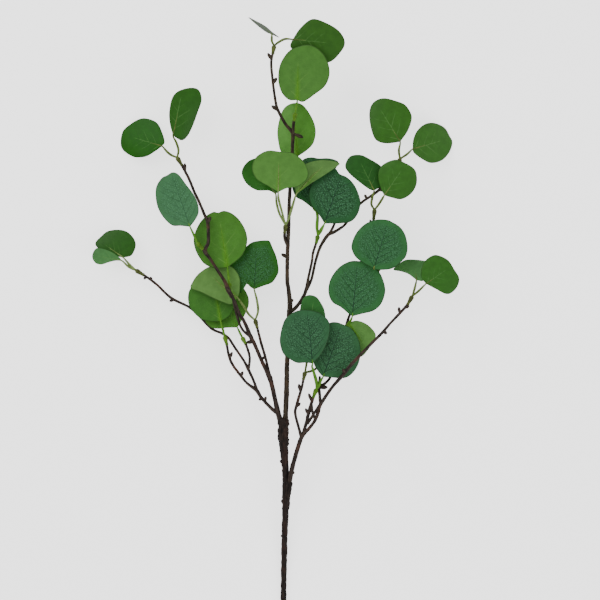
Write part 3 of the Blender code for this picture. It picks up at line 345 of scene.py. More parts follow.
def barkGroup():
    inputs = [("Where", "NodeSocketVector")]
    tree, given, result = newGroup("barkGrain", inputs, ["Grain", "Patches", "Height"])
    grain = stretched(tree, given["Where"], barkSurface["grainStretch"])
    grain = noiseAt(tree, grain, barkSurface["grainScale"], 4.0, 0.6)
    plug(tree, result["Grain"], ramp(tree, grain, *barkSurface["grainEnds"]))
    patches = noiseAt(tree, given["Where"], barkSurface["patchScale"])
    plug(tree, result["Patches"], ramp(tree, patches, *barkSurface["patchEnds"]))
    rings = stretched(tree, given["Where"], barkSurface["ringStretch"])
    rings = noiseAt(tree, rings, barkSurface["ringScale"], 2.0)
    plug(tree, result["Height"], calc(tree, "MULTIPLY_ADD", rings, barkSurface["ringShare"], grain))
    return tree


def barkMaterial(name, grain, finish):
    made, tree, shader = newMaterial(name, specular=barkSurface["specular"])
    parts = placeGroup(tree, grain, Where=storedOn(tree, "leafMap")["Vector"])
    dark, light, patch = ((*linear(finish[key]), 1.0) for key in ("dark", "light", "patch"))
    colour = mixColour(tree, parts["Grain"], dark, light)
    patches = calc(tree, "MULTIPLY", parts["Patches"], barkSurface["patchShare"])
    plug(tree, shader["Base Color"], mixColour(tree, patches, colour, patch))
    plug(tree, shader["Roughness"], ramp(tree, parts["Grain"], 0.0, 1.0, *barkSurface["roughness"]))
    addBump(tree, shader, parts["Height"], barkSurface["bumpDepth"], barkSurface["bump"])
    return made


veins = leafVeinGroup()
grain = barkGroup()
leafMaterials = {name: leafMaterial(name, veins, facts) for name, facts in leafFinishes.items()}
stalkMaterials = {name: stalkMaterial(name, **finish) for name, finish in stalkFinishes.items()}
barkMaterials = {name: barkMaterial(name, grain, finish) for name, finish in barkFinishes.items()}
print("materials made")


def splinePoint(before, start, end, after, share):
    a = 2 * start
    b = end - before
    c = 2 * before - 5 * start + 4 * end - after
    d = 3 * start - before - 3 * end + after
    return 0.5 * (a + b * share + c * share**2 + d * share**3)


def smoothRoute(points, step):
    # The smooth curve through (x, y, z, radius) points, read every step millimetres or so.
    points = [Vector(point) for point in points]
    ends = [2 * points[0] - points[1]] + points + [2 * points[-1] - points[-2]]
    route = []
    for i in range(1, len(ends) - 2):
        count = max(1, round((ends[i + 1].xyz - ends[i].xyz).length / step))
        for k in range(count):
            route.append(splinePoint(ends[i - 1], ends[i], ends[i + 1], ends[i + 2], k / count))
    return route + [points[-1]]


def newShape():
    return {"places": [], "faces": [], "slots": [], "maps": [], "greens": []}


tube = {
    "endLength": 0.35, "endRadius": 0.6,  # how the ends are rounded off, in shares of the radius
    "lumps": 260,  # how fine the bumps are, for each metre
    "grain": (1100, 300, 1100), "grainShare": 0.7,
    "green": (0.1, 0.1, 0.1, 1.0),  # stalks and bark don't read it
}


def addTube(shape, route, sides, slot, ridges=0.0):
    # A closed tube along a route of (x, y, z, radius) that stays above the floor.
    centres = [world(point) for point in route]
    radii = [point[3] * mm for point in route]
    first = (centres[1] - centres[0]).normalized()
    last = (centres[-1] - centres[-2]).normalized()
    start = centres[0] - first * radii[0] * tube["endLength"]
    end = centres[-1] + last * radii[-1] * tube["endLength"]
    centres = [start] + centres + [end]
    radii = [radii[0] * tube["endRadius"]] + radii + [radii[-1] * tube["endRadius"]]
    side = first.orthogonal().normalized()
    base = len(shape["places"])
    rings = len(centres)
    walked = 0.0
    for i, (centre, radius) in enumerate(zip(centres, radii)):
        walked += (centre - centres[max(i - 1, 0)]).length
        way = (centres[min(i + 1, rings - 1)] - centres[max(i - 1, 0)]).normalized()
        side = (side - way * side.dot(way)).normalized()
        over = way.cross(side)
        for k in range(sides):
            turn = 2 * pi * k / sides
            out = side * cos(turn) + over * sin(turn)
            at = centre + out * radius
            coarse = noise.noise(at * tube["lumps"])
            fine = noise.noise(Vector([part * scale for part, scale in zip(at, tube["grain"])]))
            grown = 1 + ridges * radius / mm * (coarse + tube["grainShare"] * fine)
            at = centre + out * radius * grown
            shape["places"].append(Vector((at.x, at.y, max(at.z, 0.0))))
            shape["maps"].append((cos(turn) * radius, sin(turn) * radius, walked))
    for i in range(rings - 1):
        for k in range(sides):
            a = base + i * sides + k
            b = base + i * sides + (k + 1) % sides
            shape["faces"].append((a, b, b + sides, a + sides))
            shape["slots"].append(slot)
    shape["faces"].append(tuple(base + k for k in reversed(range(sides))))
    shape["faces"].append(tuple(base + (rings - 1) * sides + k for k in range(sides)))
    shape["slots"] += [slot, slot]
    shape["greens"] += [tube["green"]] * (rings * sides)


def makeObject(name, shape, materials):
    mesh = bpy.data.meshes.new(name)
    mesh.from_pydata(shape["places"], [], shape["faces"])
    mesh.polygons.foreach_set("material_index", shape["slots"])
    mesh.polygons.foreach_set("use_smooth", [True] * len(mesh.polygons))
    where = mesh.attributes.new("leafMap", "FLOAT_VECTOR", "POINT")
    where.data.foreach_set("vector", [part for place in shape["maps"] for part in place])
    green = mesh.attributes.new("leafGreen", "FLOAT_COLOR", "POINT")
    green.data.foreach_set("color", [part for colour in shape["greens"] for part in colour])
    made = bpy.data.objects.new(name, mesh)
    bpy.context.scene.collection.objects.link(made)
    for material in materials:
        mesh.materials.append(material)
    return made


def finishPiece(made, node):
    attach(made, "root")
    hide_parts(node)
    print("made", made.name, len(made.data.polygons), "faces")


blade = {
    "cells": 40,
    "thickness": 0.5,  # millimetres
    "edgeThinning": 0.75, "edgePower": 16,
    "wave": 1.0,
    "ribStart": -0.95, "ribEnd": 0.3,  # from -1 at the base to 1 at the far edge
    "ribSearch": 0.7, "ribSteps": 70,  # how far aside the midrib is looked for, and how finely
    "halfShadeWidth": 0.06,  # how softly the painted light and shade of a leaf's two halves meet, in leaf lengths
    "underGreen": (96, 140, 70), "underShare": 0.6,  # what a leaf's hidden face is mixed with
    "topGreen": (56, 104, 40), "topShare": 0.7,
}


def outlinePoints(leaf):
    # The outline in space. One given in the plan is laid on a slope through its base.
    points = [Vector(point) for point in leaf["outline"]]
    if len(points[0]) == 3:
        return points
    base = points[0]
    middle = middleOf(points)
    length = 2 * (middle - base).length
    along = (middle - base).normalized()
    across = Vector((-along.y, along.x))
    halfWidth = max(abs((point - base).dot(across)) for point in points)
    raised = []
    for point in points:
        far = (point - base).dot(along) / length
        side = (point - base).dot(across) / halfWidth
        raised.append(Vector((*point, leaf["height"] + leaf["rise"] * far + leaf["roll"] * side)))
    return raised


def outlineAt(points, share):
    # A point of the smooth outline, which has its one corner at the base.
    count = len(points)
    place = share * count
    index = min(floor(place), count - 1)
    start, end = points[index], points[(index + 1) % count]
    before = points[index - 1] if index > 0 else 2 * start - end
    after = points[(index + 2) % count] if index < count - 1 else 2 * end - start
    return splinePoint(before, start, end, after, place - index)


def ringShare(a, b, ring):
    # How far round its square ring a grid point lies, from the middle of the near side.
    u, v = a / ring, b / ring
    if v < tiny - 1:
        walked = -u if u <= 0 else 8 - u
    elif u < tiny - 1:
        walked = 2 + v
    elif v > 1 - tiny:
        walked = 4 + u
    else:
        walked = 6 - v
    return (walked / 8) % 1


def bladePlace(leaf, points, a, b):
    # Where a point of the square grid, from -1 to 1 each way, comes to lie on the blade.
    cup = leaf.get("cup", 0)
    middle = middleOf(points)
    middle.z -= cup
    ring = max(abs(a), abs(b))
    if ring < tiny:
        return middle
    share = ringShare(a, b, ring)
    place = middle.lerp(outlineAt(points, share), ring)
    place.z -= cup * (ring - ring**2)
    place.z += blade["wave"] * ring**3 * sin(4 * pi * share) * sin(pi * share)
    return place


def ribPlace(leaf, points, far):
    # Where the midrib is at a grid height from -1 at the base to 1 at the far end.
    if "midrib" not in leaf or far < blade["ribStart"]:
        return bladePlace(leaf, points, 0.0, far)
    base = points[0].xy
    aim = (Vector(leaf["midrib"]) - base).normalized()

    def miss(place):
        return ((place.xy - base).normalized() - aim).length

    steps = blade["ribSteps"]
    asides = [blade["ribSearch"] * k / steps for k in range(-steps, steps + 1)]
    return min((bladePlace(leaf, points, aside, far) for aside in asides), key=miss)


def bladeGreens(leaf, maps):
    # The colours of the shown face and then of the hidden one, with the strength of the veins. A leaf
    # with a second green has one half of its shown face painted lighter than the other: painted light on
    # one half, painted shade on the other.
    own = linear(leaf["green"])
    second = linear(leaf.get("litHalfGreen", leaf["green"]))
    strength = leaf.get("veins", 1.0)
    shown = []
    for place in maps:
        share = min(1.0, max(0.0, 0.5 + place[0] / blade["halfShadeWidth"]))
        shown.append((*mixed(own, second, share), strength))
    hidden = "top" if leaf["face"] == "under" else "under"
    hiddenGreen = mixed(own, linear(blade[hidden + "Green"]), blade[hidden + "Share"])
    return shown + [(*hiddenGreen, strength)] * len(maps)


def addBlade(shape, leaf, slots):
    # Two thin faces that meet at the outline. The upper one shows the leaf's own side.
    points = outlinePoints(leaf)
    base = points[0]
    length = 2 * (middleOf(points) - base).length
    along = (ribPlace(leaf, points, blade["ribEnd"]) - base).normalized()
    aside = along.cross(Vector((0, 0, 1))).normalized()
    sheet = bmesh.new()
    bmesh.ops.create_grid(sheet, x_segments=blade["cells"], y_segments=blade["cells"], size=1.0)
    maps, halves = [], []
    for vert in sheet.verts:
        a, b = vert.co.x, vert.co.y
        place = bladePlace(leaf, points, a, b)
        ring = max(abs(a), abs(b))
        maps.append(((place - base).dot(aside) / length, (place - base).dot(along) / length, ring))
        thinning = 1 - blade["edgeThinning"] * ring ** blade["edgePower"]
        halves.append(0.5 * blade["thickness"] * mm * thinning)
        vert.co = world(place)
    sheet.normal_update()
    if sum(vert.normal.z for vert in sheet.verts) < 0:
        bmesh.ops.reverse_faces(sheet, faces=sheet.faces)
        sheet.normal_update()
    upper, count = len(shape["places"]), len(maps)
    for way in (1, -1):
        offsets = (vert.normal * half * way for vert, half in zip(sheet.verts, halves))
        shape["places"] += [vert.co + offset for vert, offset in zip(sheet.verts, offsets)]
        shape["maps"] += maps
    shape["greens"] += bladeGreens(leaf, maps)
    for face in sheet.faces:
        loop = [upper + vert.index for vert in face.verts]
        shape["faces"] += [tuple(loop), tuple(count + i for i in reversed(loop))]
        shape["slots"] += slots
    for edge in sheet.edges:
        if edge.is_boundary:
            corner = edge.link_loops[0]
            a, b = upper + corner.vert.index, upper + corner.link_loop_next.vert.index
            shape["faces"].append((b, a, a + count, b + count))
            shape["slots"].append(slots[0])
    sheet.free()


# A petiole starts in its sleeve, reaches the leaf's base and goes on along the blade as its midrib.
petiole = {
    "radius": 1.25, "root": 1.0, "rootLength": 2,
    "rib": (0.75, 0.22),  # radius at the leaf's base and where the midrib ends
    "ribStops": 8,
    "below": 0.25, "belowRise": 4,  # how far under or over the blade's middle it runs, and how soon
    "sunk": 0.6, "sunkRise": 6,  # how much deeper it runs in a leaf with a printed net
    "step": 1.5, "sides": 10,
}


def addPetiole(shape, piece, leaf, slot):
    mouth, fork = Vector(piece["mouth"]), Vector(piece["fork"])
    root = fork + (mouth - fork).normalized() * petiole["rootLength"]
    route = [(*root, petiole["root"]), (*fork, petiole["root"])]
    route += [place if len(place) == 4 else (*place, petiole["radius"]) for place in leaf["petiole"]]
    points = outlinePoints(leaf)
    start, end = petiole["rib"]
    flat = len(leaf["outline"][0]) == 2
    below = petiole["below"] if leaf["face"] == "under" else -petiole["below"]
    for k in range(petiole["ribStops"]):
        share = k / (petiole["ribStops"] - 1)
        place = ribPlace(leaf, points, -1 + share * (1 + blade["ribEnd"]))
        if flat:
            place.z += below * min(1.0, petiole["belowRise"] * share)
        if leaf["face"] == "net":
            place.z -= petiole["sunk"] * min(1.0, petiole["sunkRise"] * share)
        route.append((*place, start + (end - start) * share))
    addTube(shape, smoothRoute(route, petiole["step"]), petiole["sides"], slot)


sleeve = {
    "stops": [(0.0, 1.75), (0.08, 1.75), (0.2, 1.6), (0.85, 2.45), (1.05, 1.6)],  # radii, mouth to fork
    "step": 0.6, "sides": 16,
}


def addSleeve(shape, piece, slot):
    mouth, fork = Vector(piece["mouth"]), Vector(piece["fork"])
    route = [(*mouth.lerp(fork, share), radius) for share, radius in sleeve["stops"]]
    addTube(shape, smoothRoute(route, sleeve["step"]), sleeve["sides"], slot)


# The order of a leaf piece's materials: one for each kind of face, then the petioles and the sleeve.
leafSlots = {"net": 0, "plain": 1, "under": 2, "petiole": 3, "sleeve": 4}


def makeLeafPiece(name, node, piece):
    shape = newShape()
    for leaf in piece["blades"]:
        hidden = "plain" if leaf["face"] == "under" else "under"
        addBlade(shape, leaf, [leafSlots[leaf["face"]], leafSlots[hidden]])
        addPetiole(shape, piece, leaf, leafSlots["petiole"])
    addSleeve(shape, piece, leafSlots["sleeve"])
    stalk = piece.get("stalk", "Olive")
    sleeveMaterial = stalkMaterials["sleeveLime" if stalk == "Lime" else "sleeveOlive"]
    materials = [*leafMaterials.values(), stalkMaterials["petiole" + stalk], sleeveMaterial]
    finishPiece(makeObject(name, shape, materials), node)


bark = {
    "step": 0.9,  # millimetres from ring to ring
    "sides": 18,
    "ridges": 0.05,  # how deep the grain is, for each millimetre of radius
    "fatter": 0.35,
    "tipLength": 2, "tipRadius": 0.8,  # how far a twig reaches into its sleeve
    "budShape": [(0.0, 0.7), (0.2, 0.8), (0.45, 1.0), (0.65, 1.0), (0.85, 0.75), (0.97, 0.4)],
    "budFatter": 1.15, "budStep": 0.6, "budSides": 12,
}


def stemRoute(stem):
    route = list(stem["route"])
    if "socket" in stem:
        route.insert(0, (*Vector(stem["socket"]).lerp(Vector(stem["socketEnd"]), 0.5), route[0][3]))
    if "tip" in stem:
        mouth, fork = Vector(stem["tip"]["mouth"]), Vector(stem["tip"]["fork"])
        route.append((*mouth, route[-1][3]))
        route.append((*(mouth + (fork - mouth).normalized() * bark["tipLength"]), bark["tipRadius"]))
    return [(*point.xyz, point.w + bark["fatter"]) for point in smoothRoute(route, bark["step"])]


def budRoute(bud):
    root, end, radius = Vector(bud[0]), Vector(bud[1]), bud[2] * bark["budFatter"] + bark["fatter"]
    route = [(*root.lerp(end, share), radius * size) for share, size in bark["budShape"]]
    return smoothRoute(route, bark["budStep"])


def makeWoodPiece(name, node, piece):
    shape = newShape()
    for stem in piece["stems"]:
        addTube(shape, stemRoute(stem), bark["sides"], 0, bark["ridges"])
    for bud in piece["buds"]:
        addTube(shape, budRoute(bud), bark["budSides"], 0, bark["ridges"])
    made = makeObject(name, shape, [barkMaterials[piece.get("bark", piece["slot"])]])
    finishPiece(made, node)


leafTopPair = {
    "slot": "leaf_green",
    "mouth": (272.8, 54, 61.2),
    "fork": (274.2, 46.4, 62),
    "blades": [{
        "face": "plain", "green": (44, 68, 24),
        "petiole": [(272, 42, 62.4), (271.8, 37.6, 62.6)],
        "outline": [
            (271.8, 34.8, 62), (266.2, 32.6, 65.2), (257.2, 25.7, 60), (248.5, 17.4, 47.2),
            (255.6, 20.4, 34.5), (265.2, 25.6, 29.2), (272.4, 31.8, 34.5), (279.3, 37.4, 47.2),
            (275, 36.2, 54.8),
        ],
    }, {
        "face": "plain", "green": (56, 99, 36),
        "petiole": [(278, 43, 62.6), (285, 39.4, 63.4)],
        "outline": [
            (292.6, 39.8), (300.4, 28.4), (311.9, 19.6), (325, 22.8), (338.6, 31), (344.8, 42),
            (341, 52), (328.7, 62.8), (310, 60), (294, 51), (290.2, 46),
        ],
        "height": 63.6, "rise": 1, "roll": -2, "cup": -2,
    }],
}
makeLeafPiece("leafTopPair", "leaf_top_pair", leafTopPair)

leafTopSingle = {
    "slot": "leaf_under", "stalk": "Lime",
    "mouth": (294, 121, 56.4),
    "fork": (295.2, 113.4, 58.2),
    "blades": [{
        "face": "under", "green": (78, 126, 54),
        "midrib": (298, 68),
        "petiole": [(296.4, 106.6, 60.4)],
        "outline": [
            (297.3, 100.6), (288.5, 99.9), (281.3, 92), (278.2, 79), (280.5, 64), (289, 51.5),
            (300.2, 46.5), (310.3, 45.6), (320.3, 51.3), (327.6, 62), (329.5, 75), (325, 86.3),
            (315, 94.5), (303.7, 102),
        ],
        "height": 62, "rise": 10, "roll": 2, "cup": 2,
    }],
}
makeLeafPiece("leafTopSingle", "leaf_top_single", leafTopSingle)

leafBehindStem = {
    "slot": "leaf_under", "stalk": "Lime",
    "mouth": (293.8, 168, 48.8),
    "fork": (295.6, 161.8, 45),
    "blades": [{
        # painted light and shade: the second green paints one half of this leaf lighter than the other
        # half
        "face": "under", "green": (80, 138, 50), "litHalfGreen": (97, 157, 68),
        "petiole": [],
        "outline": [
            (297, 157), (286, 156), (280.6, 151), (278.3, 142), (277.3, 131.5), (279.3, 119.5),
            (283, 109.7), (289, 104.3), (297.2, 102.8), (303.4, 105.5), (309.4, 113.2), (314.5, 123.8),
            (315.7, 133.6), (313, 143.7), (306.4, 150.6),
        ],
        "height": 42.4, "rise": -2, "roll": 2, "cup": -2,
    }],
}
makeLeafPiece("leafBehindStem", "leaf_behind_stem", leafBehindStem)

leafStemTrio = {
    "slot": "leaf_under", "stalk": "Pale",
    "mouth": (284.6, 233, 50.6),
    "fork": (285.6, 225.6, 53.2),
    "blades": [{
        "face": "under", "green": (87, 137, 61),
        "midrib": (278.8, 160.8),
        "petiole": [(281.4, 210, 57.6), (278.6, 199, 60)],
        "outline": [
            (278.2, 192.4), (268.2, 186.4), (256.4, 179), (252, 168.2), (256, 157.6), (267.4, 151.1),
            (280.5, 152.1), (293, 153.6), (302.8, 161), (308.2, 171.6), (306.4, 180), (297.4, 186.8),
            (287, 188.4),
        ],
        "height": 61.5, "rise": 14, "roll": 0, "cup": 2.5,
    }, {
        "face": "plain", "green": (44, 102, 34),
        "petiole": [(279.6, 214, 55.4), (276.6, 203, 55.8)],
        "outline": [
            (275.8, 194.4), (268.8, 190.8), (256.4, 190.2), (246.4, 183.4), (241.7, 173),
            (245.6, 163.8), (254, 158.7), (266, 158.8), (277, 164), (282, 175), (280.6, 188),
        ],
        "height": 55.8, "rise": -3, "roll": 2, "cup": 2,
    }, {
        "face": "under", "green": (92, 134, 69),
        "petiole": [(289.6, 216, 55.4), (293.4, 203, 57.6)],
        "outline": [
            (296.2, 194.4), (293.6, 182), (297, 170), (309, 162.6), (324.3, 160.2), (339.2, 163.2),
            (334, 168.8), (322.4, 176.6), (310.8, 183.8),
        ],
        "height": 58.6, "rise": 5, "roll": -3, "cup": 1.5,
    }],
}
makeLeafPiece("leafStemTrio", "leaf_stem_trio", leafStemTrio)

leafMidPair = {
    "slot": "leaf_net", "stalk": "Lime",
    "mouth": (316.2, 243, 49),
    "fork": (317.8, 236, 50.2),
    "blades": [{
        "face": "net", "green": (44, 92, 52),
        "petiole": [(320.8, 230.4, 52.2, 1.9)],
        "outline": [
            (324.5, 223.6), (318.6, 214.2), (311.6, 205.4), (308.9, 196), (310.7, 186), (317, 177.6),
            (326, 171.4), (334.8, 168.4), (339.6, 173.9), (347, 177.4), (354, 184.5), (359, 195.2),
            (360.4, 204.2), (357.4, 214.6), (351, 221.5), (340.6, 223.4),
        ],
        "height": 53.6, "rise": 1, "roll": 1, "cup": -2,
    }, {
        "face": "net", "green": (38, 92, 44),
        "petiole": [(317, 227, 49.4, 1.7), (317.5, 217, 48, 1.6), (316.4, 211.4, 47.2, 1.3)],
        "outline": [
            (313.4, 209), (303.4, 201.2), (295.6, 196.4), (291.6, 184), (294, 169.6), (303.3, 159.5),
            (311, 157.3), (319, 158.4), (328, 158.2), (336, 160.2), (338.4, 163.4), (334.4, 172),
            (332, 188), (322, 204),
        ],
        "height": 46.6, "rise": -2, "roll": 1, "cup": -1.5,
    }],
}
makeLeafPiece("leafMidPair", "leaf_mid_pair", leafMidPair)

leafRightTopPair = {
    "slot": "leaf_green",
    "mouth": (397.6, 167, 46.6),
    "fork": (400, 159, 45),
    "blades": [{
        "face": "plain", "green": (58, 106, 38),
        "midrib": (381.5, 111),
        "petiole": [(398.9, 150.6, 42)],
        "outline": [
            (400.3, 141.8), (386.3, 143.4), (376.2, 140.1), (371.5, 130), (369.3, 116.2), (371, 105.8),
            (376.8, 99.8), (385, 98), (395, 100.4), (404.8, 104.3), (410.6, 112.2), (411.8, 119.4),
            (407.8, 130.9),
        ],
        "height": 39, "rise": -6, "roll": -2, "cup": -2,
    }, {
        "face": "plain", "green": (62, 111, 42),
        "petiole": [(407, 154.2, 40.6)],
        "outline": [
            (412.6, 149), (413.4, 139.4), (417.4, 130.4), (425.4, 123.6), (435, 122.5), (445, 127),
            (450, 135), (453, 142), (449.6, 152.2), (442, 160.2), (431.6, 162.8), (422.9, 159.4),
            (414.2, 153),
        ],
        "height": 36.33, "rise": -35.3, "roll": -2, "cup": -2,
    }],
}
makeLeafPiece("leafRightTopPair", "leaf_right_top_pair", leafRightTopPair)

leafRightUpperPair = {
    "slot": "leaf_green",
    "mouth": (373.6, 219, 38),
    "fork": (374.6, 210, 41.6),
    "blades": [{
        "face": "plain", "green": (58, 106, 40),
        "midrib": (397, 177),
        "petiole": [(378.6, 204.6, 47.6), (382.4, 198.6, 54.6)],
        "outline": [
            (384.2, 195.4), (380.8, 189), (378.1, 178.5), (379, 169.8), (384.5, 163.6), (395, 159.8),
            (403, 162.1), (413.3, 168.1), (416.6, 175.2), (416.2, 185), (411, 193.8), (401.3, 199.3),
            (391, 197.6),
        ],
        "height": 57, "rise": 2, "roll": 0, "cup": -2,
    }, {
        "face": "plain", "green": (41, 90, 36),
        "petiole": [(371.4, 204.4, 46.8), (372.4, 197, 51.8)],
        "outline": [
            (374, 190.8), (368.6, 189), (357.3, 180.6), (348, 172.1), (345.2, 165), (350.2, 156.4),
            (360.6, 155), (370, 159.2), (380.6, 165.9), (385.6, 174), (384.4, 184),
        ],
        "height": 52.8, "rise": -2, "roll": -2, "cup": -1.5,
    }],
}
makeLeafPiece("leafRightUpperPair", "leaf_right_upper_pair", leafRightUpperPair)

leafRightLowSingle = {
    "slot": "leaf_net",
    "mouth": (367.6, 284.6, 34.8),
    "fork": (371.4, 277.6, 35.8),
    "blades": [{
        "face": "net", "green": (54, 110, 60),
        "petiole": [(376.4, 272.6, 36.6), (379.6, 269.4, 39.8), (378, 267.2, 43.6)],
        "outline": [
            (373.8, 268.9), (363, 262.8), (356.2, 257.7), (352.6, 252), (351.5, 244.6), (356.2, 233.1),
            (365.1, 224), (376, 219.7), (386.8, 219.8), (392, 221.9), (400, 227), (405.3, 235),
            (407.6, 245.8), (406.8, 253.9), (403.4, 259.6), (393, 268.2), (380.2, 270),
        ],
        "height": 46.8, "rise": 3, "roll": 0, "cup": -2,
    }],
}
makeLeafPiece("leafRightLowSingle", "leaf_right_low_single", leafRightLowSingle)

leafCentrePair = {
    "slot": "leaf_net", "stalk": "Lime",
    "mouth": (345.2, 332, 32.8),
    "fork": (347.4, 325, 34.4),
    "blades": [{
        "face": "net", "green": (54, 110, 60),
        "midrib": (356.3, 275),
        "petiole": [(350.6, 320.6, 36.6)],
        "outline": [
            (352.3, 316.4), (348, 313.2), (340.8, 307.2), (332.3, 302), (328.4, 292), (330.4, 279.4),
            (338.3, 268), (349, 261.6), (359, 261), (369.4, 263.4), (378.4, 270.8), (383.4, 280.4),
            (385.3, 291.6), (381.4, 303.6), (373.4, 310.8), (361.8, 313.9),
        ],
        "height": 39.6, "rise": -0.5, "roll": 0, "cup": -1.8,
    }, {
        "face": "under", "green": (92, 140, 68),
        "petiole": [],
        "outline": [
            (348.4, 322.6), (356, 320.6), (364, 322.6), (371, 327.6), (375.8, 334.6), (373.6, 342),
            (368, 350), (361.6, 356.6), (353, 357), (346.4, 350), (344.4, 338), (346, 328),
        ],
        "height": 35.6, "rise": 2, "roll": 0, "cup": 1.5,
    }],
}
makeLeafPiece("leafCentrePair", "leaf_centre_pair", leafCentrePair)

leafLowPair = {
    "slot": "leaf_net", "stalk": "Lime",
    "mouth": (313.2, 397.6, 33.2),
    "fork": (316.2, 389.6, 35.6),
    "blades": [{
        "face": "net", "green": (54, 100, 64),
        "midrib": (308, 317),
        "petiole": [
            (316.8, 384.6, 38.4, 1.7), (315.6, 378.6, 41, 1.8), (313.4, 371, 46, 1.4),
            (312, 366.4, 48.6, 1.1),
        ],
        "outline": [
            (312.6, 363.4), (305.8, 362.7), (297.3, 362.9), (290.3, 359.4), (283.3, 353.6),
            (279.9, 343), (280.6, 333.2), (284.4, 320.4), (291.5, 313.4), (300.4, 310), (311, 310.4),
            (321.6, 313.8), (329.3, 322.6), (329.4, 334), (326, 345), (320.4, 355.2),
        ],
        "height": 51.4, "rise": 1.5, "roll": 0, "cup": -1.8,
    }, {
        "face": "net", "green": (56, 102, 64),
        "midrib": (337, 338),
        "petiole": [(318.6, 386, 38, 1.6), (320.6, 381, 39, 1.4)],
        "outline": [
            (323.1, 376.8), (317.8, 371), (313.4, 362), (314.4, 347), (321, 331), (328.6, 323.6),
            (335, 322), (342.8, 324.2), (352.4, 329.4), (358.5, 339.8), (360.6, 349.4), (359.8, 359.4),
            (356.6, 367.9), (350.8, 374.9), (343.8, 378.2), (332.6, 377.7),
        ],
        "height": 41.8, "rise": 0.5, "roll": 0, "cup": -1.2,
    }],
}
makeLeafPiece("leafLowPair", "leaf_low_pair", leafLowPair)

leafLowSingle = {
    "slot": "leaf_green",
    "mouth": (303.4, 379.4, 33),
    "fork": (305, 372.6, 35.2),
    "blades": [{
        "face": "plain", "green": (50, 106, 50),
        "petiole": [(306.8, 362, 40.4), (307.8, 353, 44.6)],
        "outline": [
            (308, 347), (301, 338), (298.2, 322), (300.2, 308), (302.5, 299.2), (306.4, 295.7),
            (311, 295), (316.8, 297.2), (321.3, 303.4), (324.4, 310), (325.4, 320), (322, 334),
            (315, 344),
        ],
        "height": 46.4, "rise": 0.5, "roll": 0, "cup": -1,
    }, {
        "face": "plain", "green": (50, 100, 40),
        "petiole": [(309.6, 371.6, 35.6), (314.6, 369.6, 35.6)],
        "outline": [
            (318.6, 366), (317.6, 358), (319.6, 348.6), (325.6, 342.6), (333, 343), (335.6, 349.6),
            (333, 358.6), (326.6, 364.6),
        ],
        "height": 35.6, "rise": 0.5, "roll": 0, "cup": 1,
    }],
}
makeLeafPiece("leafLowSingle", "leaf_low_single", leafLowSingle)

leafFarRightPair = {
    "slot": "leaf_green",
    "mouth": (407.6, 304.6, 45.6),
    "fork": (412.2, 296.4, 45.4),
    "blades": [{
        "face": "plain", "green": (56, 106, 40),
        "petiole": [(419, 290.6, 46)],
        "outline": [
            (425.9, 283.8), (421.4, 277.6), (421.2, 269.6), (424.6, 261.4), (431.8, 255.8),
            (438.4, 255.3), (448.2, 260.2), (454.6, 269.8), (459.2, 277.8), (457.7, 286),
            (451.8, 292.7), (445.4, 293.9), (435.7, 289),
        ],
        "height": 46.2, "rise": -5, "roll": 0, "cup": -1.8,
    }, {
        # painted light: this green is lighter than the leaf's own colour, to make up for the shadow that
        # the leaf beside it casts
        "face": "plain", "green": (83, 138, 76),
        "petiole": [(414.8, 288, 43.2)],
        "outline": [
            (416.5, 280.2), (408.7, 274.2), (401, 271.4), (393.4, 269.6), (399, 264), (405.7, 259.8),
            (415.6, 259.5), (425, 260.8), (432.6, 263.6), (434.6, 270), (430.6, 277), (423, 281),
        ],
        "height": 40.6, "rise": -10, "roll": 0, "cup": 1.5,
    }],
}
makeLeafPiece("leafFarRightPair", "leaf_far_right_pair", leafFarRightPair)

leafLeftTopPair = {
    "slot": "leaf_green",
    "mouth": (181.8, 165.2, 25.6),
    "fork": (177, 157.4, 24.4),
    "blades": [{
        "face": "plain", "green": (34, 94, 10),
        "midrib": (133, 137),
        "petiole": [(171, 154.8, 22.6), (166.4, 151, 20.6)],
        "outline": [
            (161.8, 145.8), (155.4, 150.6), (146.6, 155.8), (138.9, 157.1), (132.2, 156.2),
            (123.2, 150.4), (120, 142.9), (122.2, 130.7), (130.5, 123), (139.6, 118.2), (147.2, 118.1),
            (156.2, 121.9), (161, 129.9), (164.4, 141.2),
        ],
        "height": 18.53, "rise": -17.2, "roll": 0, "cup": -1.5,
    }, {
        "face": "plain", "green": (50, 99, 34),
        "midrib": (178.5, 108),
        "petiole": [(178.3, 150, 24.8), (176, 142, 25.2)],
        "outline": [
            (172.8, 135.4), (169.8, 124), (169, 112.4), (171.6, 98.8), (177, 91.6), (187, 87.9),
            (196, 88), (200.4, 92.7), (201.4, 100.9), (198, 110.9), (192.6, 125.6), (187, 136.2),
            (181, 140),
        ],
        "height": 25.4, "rise": 6, "roll": -4, "cup": -1.5,
    }],
}
makeLeafPiece("leafLeftTopPair", "leaf_left_top_pair", leafLeftTopPair)

leafLeftUpperSingle = {
    "slot": "leaf_net", "stalk": "Lime",
    "mouth": (202.8, 249.2, 39.9),
    "fork": (197.2, 243.2, 41.2),
    "blades": [{
        "face": "net", "green": (72, 122, 80), "veins": 0.5,
        "midrib": (175.5, 185),
        "petiole": [(193.8, 235, 41)],
        "outline": [
            (190, 226.8), (180.6, 225.8), (172.2, 225.4), (163.9, 218.1), (157.9, 208), (155.5, 196.2),
            (156.3, 186.3), (161.4, 178.2), (167.2, 175), (172.4, 172.2), (178.5, 174.4),
            (186.2, 184.5), (193.4, 194.1), (197.9, 203.9), (198.5, 213), (194.9, 220.3),
        ],
        "height": 40, "rise": -3, "roll": 0, "cup": 1.8,
    }],
}
makeLeafPiece("leafLeftUpperSingle", "leaf_left_upper_single", leafLeftUpperSingle)

